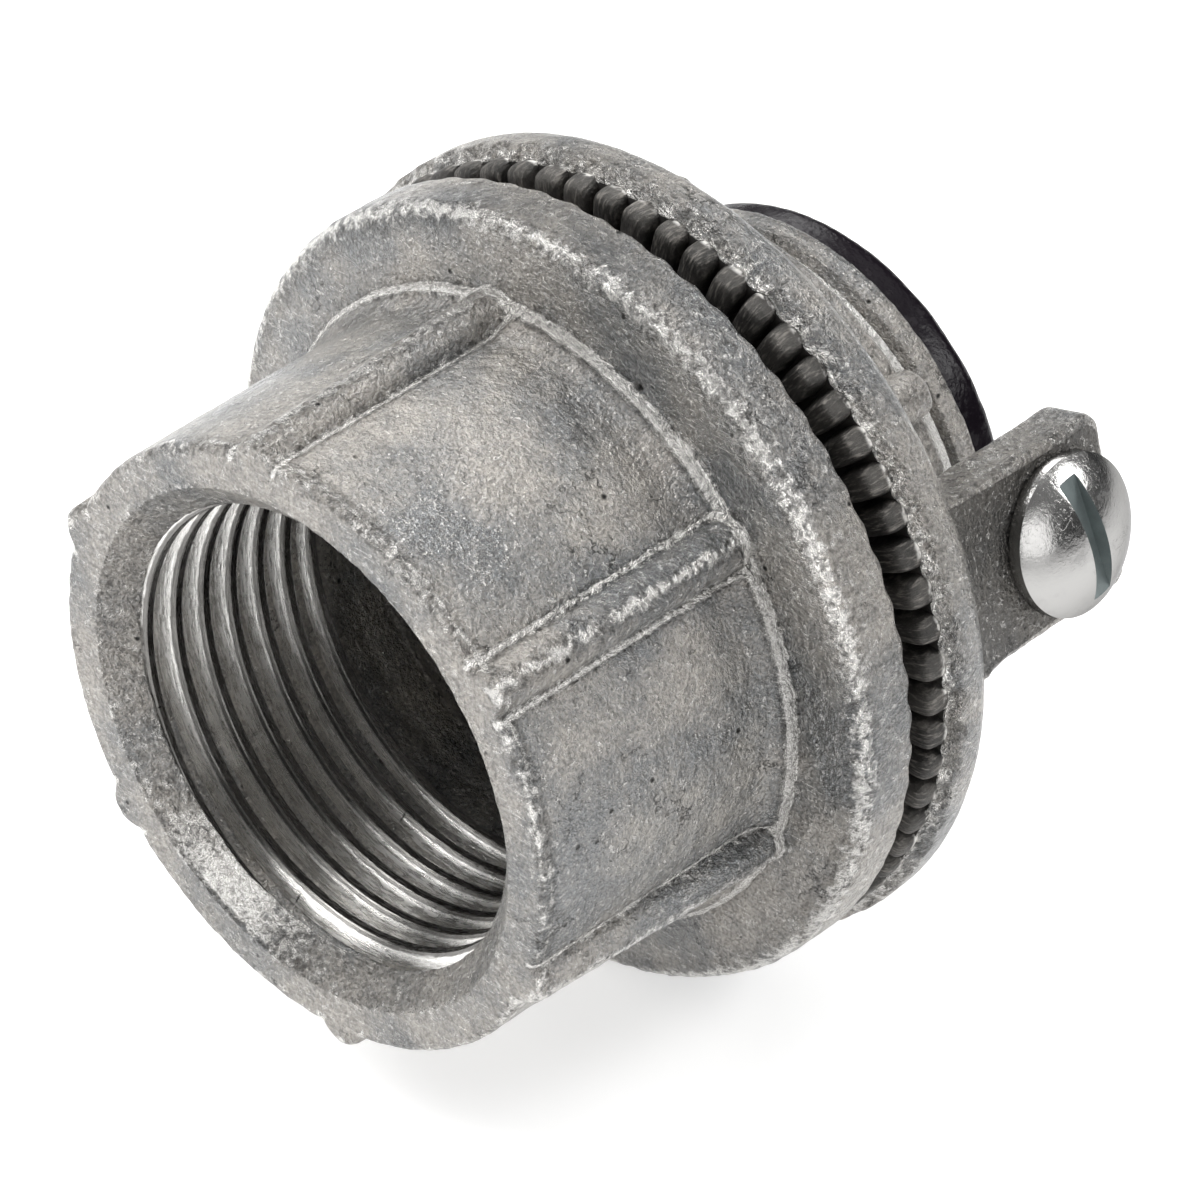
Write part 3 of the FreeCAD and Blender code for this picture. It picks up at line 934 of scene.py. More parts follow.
def mottle_group():
    """Colour of cast zinc: broad blue-grey patches, blotches and fine speckle."""
    tree, given, out = group_tree("Cast mottle", "ShaderNodeTree", {
        "Place": "Vector",
        "Light": (0.5, 0.5, 0.5, 1.0),
        "Dark": (0.2, 0.2, 0.2, 1.0),
        "Patch size": 6.0,
    }, {"Color": "Color", "Patch": "Float"})
    place = given["Place"]
    scale = maths(tree, "DIVIDE", 1.0, given["Patch size"])
    patch = remap(tree, noise(tree, place, scale, 2.0, 0.5), 0.38, 0.68)
    blotch = noise(tree, place, times(tree, scale, 7.0), 4.0, 0.65)
    speckle = noise(tree, place, times(tree, scale, 50.0), 3.0, 0.75)
    share = times_plus(tree, patch, 0.3, times(tree, blotch, 0.45))
    share = remap(tree, times_plus(tree, speckle, 0.85, share), 0.42, 1.1)
    connect(tree, out, Color=mix(tree, share, given["Light"], given["Dark"]), Patch=patch)
    return tree


def grain_group():
    """Height and marks of a cast surface: painted shade, bright flecks painted as glints, fissures and pits.
    """
    tree, given, out = group_tree("Cast grain", "ShaderNodeTree", {
        "Place": "Vector",
        "Grain size": 0.2,
        "Pits": 0.5,
    }, {"Height": "Float", "Shade": "Float", "Fleck": "Float", "Fissure": "Float", "Pit": "Float"})
    place = given["Place"]
    scale = maths(tree, "DIVIDE", 1.0, given["Grain size"])

    def layer(share, detail, roughness):
        return noise(tree, place, times(tree, scale, share), detail, roughness)

    grain = layer(1.0, 3.0, 0.65)
    broad = layer(0.22, 2.0, 0.5)

    # Pits in a few of the cells, glint flecks in patches, fissures where a noise crosses its middle
    cells = add(tree, "ShaderNodeTexVoronoi", {"Vector": place, "Scale": 0.9}, feature="F1").outputs
    lot = result(tree, "ShaderNodeSeparateColor", {0: cells["Color"]})
    chosen = maths(tree, "LESS_THAN", lot, given["Pits"])
    pit = times(tree, remap(tree, cells["Distance"], 0.05, 0.16, 1.0, 0.0), chosen)
    specks = remap(tree, layer(0.7, 3.0, 0.6), 0.54, 0.62)
    glint = times(tree, specks, remap(tree, layer(0.3, 2.0, 0.6), 0.4, 0.55))
    away = maths(tree, "ABSOLUTE", maths(tree, "SUBTRACT", layer(0.09, 4.0, 0.65), 0.5))
    rare = remap(tree, layer(0.07, 3.0, 0.6), 0.56, 0.66)
    fissure = times(tree, remap(tree, away, 0.0036, 0.012, 1.0, 0.0), rare)

    height = times_plus(tree, glint, 0.3, times_plus(tree, broad, 1.6, grain))
    sunk = times(tree, maths(tree, "MAXIMUM", pit, fissure), 1.2)
    connect(
        tree, out, Height=maths(tree, "SUBTRACT", height, sunk),
        Shade=remap(tree, grain, 0.34, 0.6, 1.0, 0.0), Fleck=glint, Fissure=fissure, Pit=pit,
    )
    return tree


def wear_group():
    """Ragged worn edges and painted highlights from the piece's own wear, with their lumps and the lumps' low
    spots darkened.
    """
    tree, given, out = group_tree("Edge wear", "ShaderNodeTree", {
        "Place": "Vector",
        "Spread": 0.5,
    }, {"Mask": "Float", "Crumple": "Float", "Grime": "Float"})
    wear = attribute(tree, "wear")
    chips = maths(tree, "SUBTRACT", noise(tree, given["Place"], 1.7, 4.0, 0.7), 0.5)
    edge = times_plus(tree, chips, 2.4, wear)
    mask = remap(tree, edge, given["Spread"], maths(tree, "ADD", given["Spread"], 0.4))
    mask = times(tree, mask, at_most_one(tree, times(tree, wear, 1.6)))
    lumps = noise(tree, given["Place"], 2.6, 4.0, 0.7)
    lumpiness = times(tree, wear, remap(tree, wear, 0.7, 1.0, 1.0, 0.25))
    crumple = times(tree, maths(tree, "SUBTRACT", lumps, 0.5), lumpiness)
    # Darker where the lumps are low, on worn and rough places
    dark_lows = times(tree, remap(tree, lumps, 0.36, 0.5, 1.0, 0.0), at_most_one(tree, times(tree, lumpiness, 1.8)))
    connect(tree, out, Mask=mask, Crumple=crumple, Grime=dark_lows)
    return tree


def scratch_group():
    """Mask of short hairline scratches along two slants."""
    tree, given, out = group_tree("Hairlines", "ShaderNodeTree", {
        "Place": "Vector",
        "Amount": 0.5,
    }, {"Mask": "Float"})
    lines = []
    for slant in (0.5, -0.9):
        laid = result(tree, "ShaderNodeMapping", {
            "Vector": given["Place"], "Rotation": (0.3, slant, 0.6), "Scale": (0.7, 9.0, 9.0),
        })
        lines.append(remap(tree, noise(tree, laid, 1.0, 2.0, 0.5), 0.64, 0.74))
    connect(tree, out, Mask=times(tree, maths(tree, "MAXIMUM", *lines), given["Amount"]))
    return tree


def turning_group():
    """Streaks that run round the hub axis, as a threading tool leaves them, with stains and nicks."""
    tree, given, out = group_tree("Turning marks", "ShaderNodeTree", {
        "Place": "Vector",
    }, {"Streak": "Float", "Stain": "Float", "Nick": "Float"})
    axes = axes_of(tree, given["Place"])
    angle = maths(tree, "ARCTAN2", axes["Z"], axes["X"])
    square = times_plus(tree, axes["X"], axes["X"], times(tree, axes["Z"], axes["Z"]))
    laid = vector_of(tree, times(tree, angle, 1.6), axes["Y"], maths(tree, "SQRT", square))
    crossing = vector_of(tree, times(tree, angle, 26.0), times(tree, axes["Y"], 0.8))
    connect(
        tree, out, Streak=noise(tree, laid, 8.0, 4.0, 0.6),
        Stain=remap(tree, noise(tree, given["Place"], 0.35, 4.0, 0.7), 0.42, 0.66),
        Nick=remap(tree, noise(tree, crossing, 1.0, 2.0, 0.5), 0.73, 0.79),
    )
    return tree


def shared_groups():
    """The shader effects that several finishes use, built once."""
    makers = {
        "mottle": ("Cast mottle", mottle_group),
        "grain": ("Cast grain", grain_group),
        "wear": ("Edge wear", wear_group),
        "scratch": ("Hairlines", scratch_group),
        "turning": ("Turning marks", turning_group),
    }
    return {key: shared_tree(label, maker) for key, (label, maker) in makers.items()}


def attribute(tree, name, output="Fac"):
    """A named attribute of the surface."""
    return add(tree, "ShaderNodeAttribute", attribute_name=name).outputs[output]


def at_most_one(tree, value):
    return maths(tree, "MINIMUM", value, 1.0)


def opaque(rgb):
    """A colour with full alpha."""
    return (*rgb, 1.0)


def new_material(name, **constants):
    """A material with one Principled shader. Returns it with its tree, shader and places in millimetres."""
    material = bpy.data.materials.new(name)
    material.use_nodes = True
    tree = material.node_tree
    shader = tree.nodes["Principled BSDF"]
    for key, value in constants.items():
        shader.inputs[key.replace("_", " ")].default_value = value
    coordinates = add(tree, "ShaderNodeTexCoord").outputs["Object"]
    return material, tree, shader, scaled(tree, coordinates, 1.0 / MM)


def mottled(tree, groups, place, light, dark, patch_size):
    """Outputs of the mottle between two colours."""
    return use_group(tree, groups["mottle"], {
        "Place": place, "Light": opaque(light), "Dark": opaque(dark), "Patch size": patch_size,
    })


def bumped(tree, height, distance):
    """Normal of a surface with a height of its own."""
    return result(tree, "ShaderNodeBump", {"Height": height, "Distance": distance, "Strength": 1.0})


def cast_material(name, groups, finishes, light, dark, pits):
    """Bare die-cast zinc: mottled, pitted and scratched, bright where its edges are worn and where highlights
    and glints are painted.
    """
    material, tree, shader, place = new_material(name, Metallic=0.88)
    mottle = mottled(tree, groups, place, light, dark, 7.0)
    grain = use_group(tree, groups["grain"], {"Place": place, "Pits": pits})
    wear = use_group(tree, groups["wear"], {"Place": place})
    lines = use_group(tree, groups["scratch"], {"Place": place, "Amount": 0.4})
    glint_share = 0.34
    shade_share = 0.44
    worn_share = 0.8
    dark_lows_share = 0.65
    fissure_share = 0.75
    crumple_height = 8.0
    worn_and_highlight = opaque(finishes.cast_worn_and_highlight)
    dark_lows = opaque(finishes.cast_dark_lows)
    # Painted glints: bright flecks in the colour, together with hairline scratches that are real marks
    bright = maths(tree, "MAXIMUM", times(tree, grain["Fleck"], glint_share), lines["Mask"])
    hollow = maths(tree, "MAXIMUM", times(tree, grain["Fissure"], fissure_share), grain["Pit"])
    # The grain's low spots are darkened: painted shade
    base = mix(tree, times(tree, grain["Shade"], shade_share), mottle["Color"], dark_lows)
    base = mix(tree, bright, base, worn_and_highlight)
    # Worn edges, and the painted highlights the wear carries, take the bright colour
    base = mix(tree, times(tree, wear["Mask"], worn_share), base, worn_and_highlight)
    base = mix(tree, times(tree, wear["Grime"], dark_lows_share), base, dark_lows)
    base = mix(tree, hollow, base, opaque(finishes.cast_hollow))
    rough = times_plus(tree, mottle["Patch"], -0.06, 0.32)
    rough = times_plus(tree, bright, -0.14, rough)
    rough = times_plus(tree, wear["Mask"], -0.12, rough)
    height = times_plus(tree, wear["Crumple"], crumple_height, grain["Height"])
    connect(tree, shader, Base_Color=base, Roughness=rough, Normal=bumped(tree, height, 0.17 * MM))
    return material


def thread_material(groups, finishes):
    """Freshly cut zinc of the inner threads: bright, streaked round the axis, with dark crests that are left
    uncut and painted with shade.
    """
    material, tree, shader, place = new_material(
        "cut_thread", Metallic=1.0, Anisotropic=0.75, Anisotropic_Rotation=0.25,
    )
    stain_share = 0.16
    uncut_and_shaded_share = 0.92
    ragged_share = 0.16
    nick_depth = 2.0
    marks = use_group(tree, groups["turning"], {"Place": place})
    uneven = maths(tree, "SUBTRACT", marks["Streak"], 0.5)
    ragged = times_plus(tree, uneven, ragged_share, attribute(tree, "flank"))
    # The crests darken: uncut metal and painted shade
    uncut_and_shaded = remap(tree, ragged, 0.74, 0.84)
    stain = maths(tree, "MAXIMUM", times(tree, marks["Stain"], stain_share), times(tree, uncut_and_shaded, uncut_and_shaded_share))
    base = mix(tree, stain, opaque(finishes.thread_light), opaque(finishes.thread_crest_dark_and_shade))
    base = mix(tree, marks["Nick"], base, opaque(finishes.thread_nick))
    height = maths(tree, "SUBTRACT", marks["Streak"], times(tree, marks["Nick"], nick_depth))
    connect(
        tree, shader, Base_Color=base,
        Roughness=remap(tree, marks["Streak"], 0.3, 0.7, 0.18, 0.34),
        Normal=bumped(tree, height, 0.025 * MM),
        Tangent=result(tree, "ShaderNodeTangent", direction_type="RADIAL", axis="Y"),
    )
    return material


def shaded_tooth_material(groups, finishes):
    """Dark zinc of the teeth, its darkness painted shade, with striations along each tooth and bright outer
    tips that are wear and a painted highlight.
    """
    material, tree, shader, place = new_material("shaded_tooth_zinc", Metallic=0.8)
    along_stripe = 1.3
    across_stripe = 6.0
    step_between_teeth = 7.3
    axes = axes_of(tree, scaled(tree, attribute(tree, "tooth_place", "Vector"), 1.0 / MM))
    own = times(tree, attribute(tree, "tooth_number"), step_between_teeth)
    laid = vector_of(
        tree,
        times(tree, axes["X"], along_stripe),
        times_plus(tree, axes["Y"], across_stripe, own),
        times(tree, axes["Z"], along_stripe),
    )
    stripe = noise(tree, laid, 1.0, 4.0, 0.65)
    mottle = mottled(tree, groups, place, finishes.tooth_shade_light, finishes.tooth_shade_dark, 2.5)
    base = mix(tree, remap(tree, stripe, 0.48, 0.7, 0.0, 0.4), mottle["Color"], opaque(finishes.cast_light))
    uneven = maths(tree, "SUBTRACT", noise(tree, place, 2.2, 3.0), 0.5)
    # Bright outer tips: wear and a painted highlight
    tip = remap(tree, times_plus(tree, uneven, 1.6, axes["X"]), 1.1, 1.4)
    tip = times(tree, tip, remap(tree, axes["Z"], 0.1, 0.45))
    connect(
        tree, shader, Base_Color=mix(tree, tip, base, opaque(finishes.cast_worn_and_highlight)),
        Roughness=remap(tree, stripe, 0.3, 0.7, 0.42, 0.6),
        Normal=bumped(tree, stripe, 0.16 * MM),
    )
    return material


def plastic_material(groups, finishes):
    """Black moulded plastic with dull scuffs on its lip."""
    material, tree, shader, place = new_material("insulator_plastic", IOR=1.28, Specular_IOR_Level=0.25)
    most_scuff = 0.1
    worn_share = 0.8
    wear = use_group(tree, groups["wear"], {"Place": place, "Spread": 0.55})
    scuff = remap(tree, noise(tree, place, 1.1, 4.0, 0.7), 0.5, 0.72, 0.0, most_scuff)
    share = maths(tree, "MAXIMUM", scuff, times(tree, wear["Mask"], worn_share))
    connect(
        tree, shader,
        Base_Color=mix(tree, share, opaque(finishes.plastic), opaque(finishes.plastic_scuffed)),
        Roughness=remap(tree, scuff, 0.0, most_scuff, 0.2, 0.42),
        Normal=bumped(tree, noise(tree, place, 2.4, 4.0, 0.6), 0.05 * MM),
    )
    return material


def rubber_material(groups, finishes):
    """Black rubber of the sealing ring, dull with a faint bloom."""
    material, tree, shader, place = new_material("ring_rubber", IOR=1.48)
    mottle = mottled(tree, groups, place, finishes.rubber_dusty, finishes.rubber, 4.0)
    connect(
        tree, shader, Base_Color=mottle["Color"],
        Roughness=remap(tree, mottle["Patch"], 0.0, 1.0, 0.6, 0.75),
        Normal=bumped(tree, noise(tree, place, 5.0, 3.0), 0.02 * MM),
    )
    return material


def screw_material(groups, finishes):
    """Bright plated steel with faint smears and fine specks."""
    material, tree, shader, place = new_material(
        "screw_plating", Metallic=1.0, Specular_Tint=(0.45, 0.45, 0.45, 1.0),
    )
    most_smear = 0.35
    speck_share = 0.6
    smear = remap(tree, noise(tree, place, 0.55, 4.0, 0.65), 0.5, 0.75, 0.0, most_smear)
    specks = use_group(tree, groups["grain"], {"Place": place, "Grain size": 0.16, "Pits": 0.25})
    base = mix(tree, smear, opaque(finishes.screw_bright), opaque(finishes.screw_dull))
    base = mix(tree, times(tree, specks["Pit"], speck_share), base, opaque(finishes.screw_speck))
    connect(
        tree, shader, Base_Color=base,
        Roughness=remap(tree, smear, 0.0, most_smear, 0.2, 0.34),
        Normal=bumped(tree, specks["Height"], 0.012 * MM),
    )
    return material


def shaded_slot_material(groups, finishes):
    """Darker, duller blue-grey plating down in the driver slot: painted shade."""
    material, tree, shader, place = new_material("shaded_slot_plating", Metallic=0.3)
    mottle = mottled(tree, groups, place, finishes.slot_shade_light, finishes.slot_shade_dark, 2.0)
    connect(
        tree, shader, Base_Color=mottle["Color"],
        Roughness=remap(tree, mottle["Patch"], 0.0, 1.0, 0.5, 0.62),
    )
    return material


# Pieces

def barrel_wall(sizes, place):
    """Radius of the drafted barrel at a place along the axis."""
    span = -sizes.flange_thickness - MOUTH
    return sizes.barrel_radius + sizes.barrel_draft * (place - MOUTH) / span


# Numbers of corners in the hub's outline: the ribs run from the barrel's edge to the lip
FRONT_FACE = 0
BARREL_EDGE = 1
LIP = 4
FLANGE_FACE = 5


def hub_outline(sizes):
    """Turned outline of the hub, from the mouth's edge over the outside and back through the bore."""
    flange_front = -sizes.flange_thickness
    lip_front = flange_front - sizes.lip_height
    lip_radius = barrel_wall(sizes, flange_front) + sizes.lip_rise
    sweep_start = lip_front - sizes.lip_sweep
    sweep_radius = barrel_wall(sizes, sweep_start)
    sweep_turn = math.atan2(lip_radius - sweep_radius, sizes.lip_sweep)
    sweep_edge = math.hypot(lip_radius - sweep_radius, sizes.lip_sweep)
    sweep_round = 0.95 * sweep_edge / math.tan(sweep_turn / 2)
    thread_start = MOUTH + sizes.mouth_chamfer
    thread_end = MOUTH + sizes.socket_length
    relief_end = thread_end + sizes.relief_length
    plain_start = NIPPLE_END - sizes.nipple_plain
    plain_radius = sizes.nipple_radius - 0.35 * MM
    groove_floor = SEAL_LOW.y
    run_out = 0.3 * MM
    return rounded_outline([
        Corner(sizes.mouth_radius, MOUTH, 0.08 * MM, 0.5, FINE_STEP, CAST_SLOT, 0.3),
        Corner(sizes.barrel_radius, MOUTH, sizes.barrel_round, 0.6, FINE_STEP),
        Corner(sizes.barrel_radius, MOUTH + sizes.flaky_edge, 0.0, 0.75, FINE_STEP),
        Corner(sweep_radius, sweep_start, sweep_round, 0.0, FINE_STEP),
        # The lip's rounded edge takes a high wear value that paints a bright line along it: a painted
        # highlight
        Corner(lip_radius, lip_front, 0.13 * MM, 1.5, 0.2 * MM),
        Corner(lip_radius, flange_front, 0.15 * MM, 0.0, MEDIUM_STEP, CAST_SLOT, 0.08),
        Corner(FLANGE_RADIUS, flange_front, sizes.flange_round, 0.85, FINE_STEP, CAST_SLOT, 0.4),
        Corner(FLANGE_RADIUS, 0.0, sizes.flange_rear, 0.4, MEDIUM_STEP, CAST_SLOT, 0.2),
        Corner(sizes.groove_outer, 0.0),
        Corner(sizes.groove_outer, groove_floor),
        Corner(sizes.groove_inner, groove_floor),
        Corner(sizes.groove_inner, 0.0),
        Corner(sizes.nipple_root, 0.0, 0.0, 0.0, 1.5 * MM),
        Corner(sizes.nipple_root, plain_start - run_out),
        Corner(plain_radius, plain_start, 0.12 * MM, 0.3, 0.6 * MM),
        Corner(plain_radius, NIPPLE_END, 0.3 * MM, 0.5, MEDIUM_STEP),
        Corner(sizes.counterbore, NIPPLE_END, 0.1 * MM),
        Corner(sizes.counterbore, THROAT_LOW.y),
        Corner(sizes.throat_radius, THROAT_LOW.y, 0.0, 0.0, 1.2 * MM),
        Corner(sizes.throat_radius, relief_end + sizes.throat_chamfer, 0.3 * MM, 0.1, 0.4 * MM),
        Corner(sizes.throat_radius + sizes.throat_chamfer, relief_end, 0.0, 0.0, 0.7 * MM),
        Corner(sizes.relief_radius, relief_end, 0.2 * MM, 0.0, 0.8 * MM),
        Corner(sizes.relief_radius, thread_end, 0.0, 0.0, 0.8 * MM),
        Corner(sizes.socket_root - sizes.socket_taper, thread_end - run_out, 0.0, 0.0, 1.6 * MM),
        Corner(sizes.socket_root, thread_start + run_out, 0.0, 0.0, 0.4 * MM),
        Corner(sizes.mouth_lip, thread_start, 0.08 * MM, 0.5, FINE_STEP, CAST_SLOT, 0.42),
    ])


def hub_shell(sizes):
    """The hub casting with its ribs, before its skin and threads."""
    outline = hub_outline(sizes)
    owner = outline.owner
    half_zone = RIB_ZONE * sizes.rib_width / sizes.barrel_radius
    angles = angles_round_ridges(sizes.rib_count, sizes.rib_phase, half_zone, RIB_STEPS, PANEL_STEPS)
    flange_front = -sizes.flange_thickness
    front_crest = sizes.barrel_radius + sizes.rib_front
    rear_crest = barrel_wall(sizes, flange_front) + sizes.rib_rear
    along = np.clip((outline.place - MOUTH) / (flange_front - MOUTH), 0.0, 1.0)
    crest = front_crest + (rear_crest - front_crest) * along

    # The front face and the flange's face stretch to meet the ribs, the wall between them follows the ribs
    face_end = sizes.barrel_radius - sizes.barrel_round
    front_share = np.clip((outline.radius - sizes.mouth_radius) / (face_end - sizes.mouth_radius), 0.0, 1.0)
    lip_radius = barrel_wall(sizes, flange_front) + sizes.lip_rise
    flat_end = FLANGE_RADIUS - sizes.flange_round
    flange_share = np.clip((flat_end - outline.radius) / (flat_end - lip_radius), 0.0, 1.0)
    share = np.select(
        [owner == FRONT_FACE, owner <= LIP, owner == FLANGE_FACE],
        [front_share, 1.0, flange_share],
        0.0,
    )
    wall = outline.radius.copy()
    wall[owner == FRONT_FACE] = sizes.barrel_radius
    wall[owner == BARREL_EDGE] = np.maximum(wall[owner == BARREL_EDGE], sizes.barrel_radius)
    wall[owner == FLANGE_FACE] = lip_radius
    lift, near = ridge_lift(
        angles, wall, sizes.rib_count, sizes.rib_phase, sizes.rib_width, crest, sizes.rib_fillet,
    )
    radius = outline.radius[None, :] + lift * share[None, :]

    # Wear and painted highlights: wear on the rib crests, a painted highlight along the rib feet, and on one
    # side of the mouth's chamfer a bright band that is wear and a painted highlight
    on_wall = ((owner >= BARREL_EDGE) & (owner <= LIP)).astype(float)
    wear = np.maximum(outline.wear[None, :], near * on_wall[None, :])
    turned = (angles - sizes.mouth_wear_and_highlight + math.pi) % (2 * math.pi) - math.pi
    worn_and_highlight_side = bell(turned, sizes.mouth_wear_and_highlight_span)
    on_chamfer = (owner == owner.max()).astype(float)
    wear = np.maximum(wear, worn_and_highlight_side[:, None] * on_chamfer[None, :])

    at_rear_edge = bell(outline.place, SCALLOP_REACH) * (outline.radius > FLANGE_RADIUS - SCALLOP_ZONE)
    scallop = sizes.flange_scallop * np.cos(FLANGE_SCALLOPS * angles)
    place = outline.place[None, :] + at_rear_edge[None, :] * scallop[:, None]
    return closed_grid(turned_points(angles, radius, place), wear, outline.slot)


# Numbers of corners in the nut's outline
RIM_FRONT = 1
RIM_LEAD = 2
RIM_REAR = 3
COLLAR_FOOT = 4
COLLAR_END = 5


def nut_outline(sizes):
    """Turned outline of the nut, from its front face over the rim and collar and back through the bore."""
    tooth_root = NUT_FRONT + sizes.tooth_height
    rim_rear = tooth_root + sizes.rim_thickness
    nut_rear = rim_rear + sizes.collar_length
    chamfer_radius = sizes.bore + sizes.bore_chamfer
    return rounded_outline([
        # The nut's front face between the teeth takes the dark tooth finish: painted shade
        Corner(chamfer_radius, tooth_root, 0.0, 0.0, HIDDEN_STEP, SHADED_TOOTH_SLOT),
        Corner(RIM_RADIUS - sizes.rim_lead, tooth_root, 0.15 * MM, 0.8, 0.2 * MM, CAST_SLOT, 0.6),
        Corner(RIM_RADIUS, tooth_root + sizes.rim_lead, 0.45 * MM, 0.5, FINE_STEP, CAST_SLOT, 0.12),
        Corner(RIM_RADIUS, rim_rear, sizes.rim_round, 0.15, MEDIUM_STEP, CAST_SLOT, 0.1),
        Corner(sizes.collar_radius, rim_rear, sizes.collar_fillet, 0.0, FINE_STEP),
        Corner(sizes.collar_radius, nut_rear, sizes.collar_edge, 0.45, FINE_STEP),
        Corner(chamfer_radius, nut_rear, 0.1 * MM, 0.35, FINE_STEP, THREAD_SLOT),
        Corner(sizes.bore_root, nut_rear - sizes.bore_chamfer, 0.0, 0.0, HIDDEN_STEP, THREAD_SLOT),
        Corner(sizes.bore_root, tooth_root + sizes.bore_chamfer, 0.0, 0.0, HIDDEN_STEP, THREAD_SLOT),
    ])


def nut_shell(sizes):
    """The nut's ring with its driving lugs, before its skin, teeth and thread."""
    outline = nut_outline(sizes)
    owner = outline.owner
    angles = sizes.tooth_phase + even_angles(STEPS_PER_TOOTH * sizes.tooth_count)
    nut_rear = NUT_FRONT + sizes.tooth_height + sizes.rim_thickness + sizes.collar_length
    crest = np.full(len(outline.radius), sizes.collar_radius + sizes.lug_height)
    rim_flat = RIM_RADIUS - sizes.rim_round
    fillet_end = sizes.collar_radius + sizes.collar_fillet
    face_share = np.clip((rim_flat - outline.radius) / (rim_flat - fillet_end), 0.0, 1.0)
    chamfer_radius = sizes.bore + sizes.bore_chamfer
    rear_flat = sizes.collar_radius - sizes.collar_edge
    rear_share = np.clip((outline.radius - chamfer_radius) / (rear_flat - chamfer_radius), 0.0, 1.0)
    on_rear = (owner == COLLAR_END) & (outline.place > nut_rear - SAME_PLACE)
    on_collar = (owner == COLLAR_FOOT) | (owner == COLLAR_END)
    share = np.select([owner == RIM_REAR, on_rear, on_collar], [face_share, rear_share, 1.0], 0.0)
    wall = np.where((owner == RIM_REAR) | on_collar, sizes.collar_radius, outline.radius)
    lift, near = ridge_lift(
        angles, wall, sizes.lug_count, sizes.lug_phase, sizes.lug_width, crest, sizes.lug_fillet,
    )
    radius = outline.radius[None, :] + lift * share[None, :]
    wear = np.maximum(outline.wear[None, :], LUG_WEAR * near * on_collar.astype(float)[None, :])
    wave = np.cos(sizes.tooth_count * (angles - sizes.tooth_phase))[:, None]
    lead = ((owner == RIM_FRONT) | (owner == RIM_LEAD)) & (outline.place < NUT_FRONT + RIM_LEAD_ZONE)
    place = outline.place[None, :] + sizes.rim_scallop * wave * lead.astype(float)[None, :]
    return closed_grid(turned_points(angles, radius, place), wear, outline.slot)


def tab_shell(sizes):
    """The terminal tab: a plate with rounded edges round its screw hole, flared where it joins the rim."""
    rim_rear = NUT_FRONT + sizes.tooth_height + sizes.rim_thickness
    root = rim_rear - sizes.tab_embed
    half = sizes.tab_width / 2
    upper = half + sizes.tab_rise
    step = 0.4 * MM
    edge = rounded_outline([
        Corner(root, -half, step=step),
        Corner(TAB_END, -half, sizes.tab_corner, step=step),
        Corner(TAB_END, upper, sizes.tab_corner, step=step),
        Corner(root, upper, step=step),
    ])
    rim = np.stack([edge.radius - SCREW_PLACE, edge.place], axis=-1)
    reach = np.linalg.norm(rim, axis=1, keepdims=True)
    outwards = rim / reach

    # Section from the hole over the outer face, round the edge and back along the inner face
    low = TAB_FACE - sizes.tab_thickness
    bevel = sizes.tab_edge
    face_steps = 18
    # The outer face's wear also darkens its lumps, adding to the painted shade on that face
    face_wear_and_shade = 0.2
    edge_wear = 0.5
    face = np.linspace(0.0, 1.0, face_steps, endpoint=False)
    back = np.linspace(0.0, 1.0, face_steps)[1:]
    bend = np.linspace(0.0, math.pi / 2, 5)
    section = [(t, -bevel * t, TAB_FACE, face_wear_and_shade) for t in face]
    section += [
        (1.0, bevel * (math.sin(a) - 1), TAB_FACE + bevel * (math.cos(a) - 1), edge_wear) for a in bend
    ]
    section += [(1.0, bevel * (math.cos(a) - 1), low + bevel * (1 - math.sin(a)), edge_wear) for a in bend]
    section += [(1.0 - t, -bevel * (1.0 - t), low, 0.0) for t in back]
    section += [(0.0, 0.0, low + sizes.tab_thickness * t, 0.0) for t in (0.33, 0.66)]
    share, inset, height, wear = (np.array(column) for column in zip(*section))
    distance = sizes.tab_hole + (reach - sizes.tab_hole) * share[None, :] + inset[None, :]
    flat = outwards[:, None, :] * distance[:, :, None]
    along = flat[..., 0] + SCREW_PLACE
    across = flat[..., 1]
    tall = np.broadcast_to(height, along.shape)

    # The root swells into the rim with a concave fillet, mostly on the inner side
    side_flare = 0.12
    outer_flare = 0.15
    away = np.clip((along - rim_rear) / sizes.tab_root, 0.0, 1.0)
    swell = sizes.tab_root * (1.0 - np.sqrt(1.0 - (1.0 - away) ** 2))
    middle = TAB_FACE - sizes.tab_thickness / 2
    across = across * (1.0 + side_flare * swell / half)
    flare = np.where(tall < middle, 1.0, outer_flare)
    tall = middle + (tall - middle) * (1.0 + flare * swell / (sizes.tab_thickness / 2))
    points = (
        tall[..., None] * np.array(TAB_AXIS)
        + across[..., None] * np.array(TAB_TANGENT)
        + along[..., None] * np.array(HUB_AXIS)
    )
    # The outer face takes the darker copy of the zinc, painted shade; the edges and inner face keep the plain
    # zinc
    slots = np.where(np.arange(len(section)) < len(face), SHADED_TAB_SLOT, CAST_SLOT)
    return closed_grid(points, np.broadcast_to(wear, along.shape), slots)


def ring_shell(corners, steps):
    """A plain turned ring."""
    outline = rounded_outline(corners)
    radius, place, wear = (
        np.repeat(row[None, :], steps, axis=0) for row in (outline.radius, outline.place, outline.wear)
    )
    return closed_grid(turned_points(even_angles(steps), radius, place), wear, outline.slot)


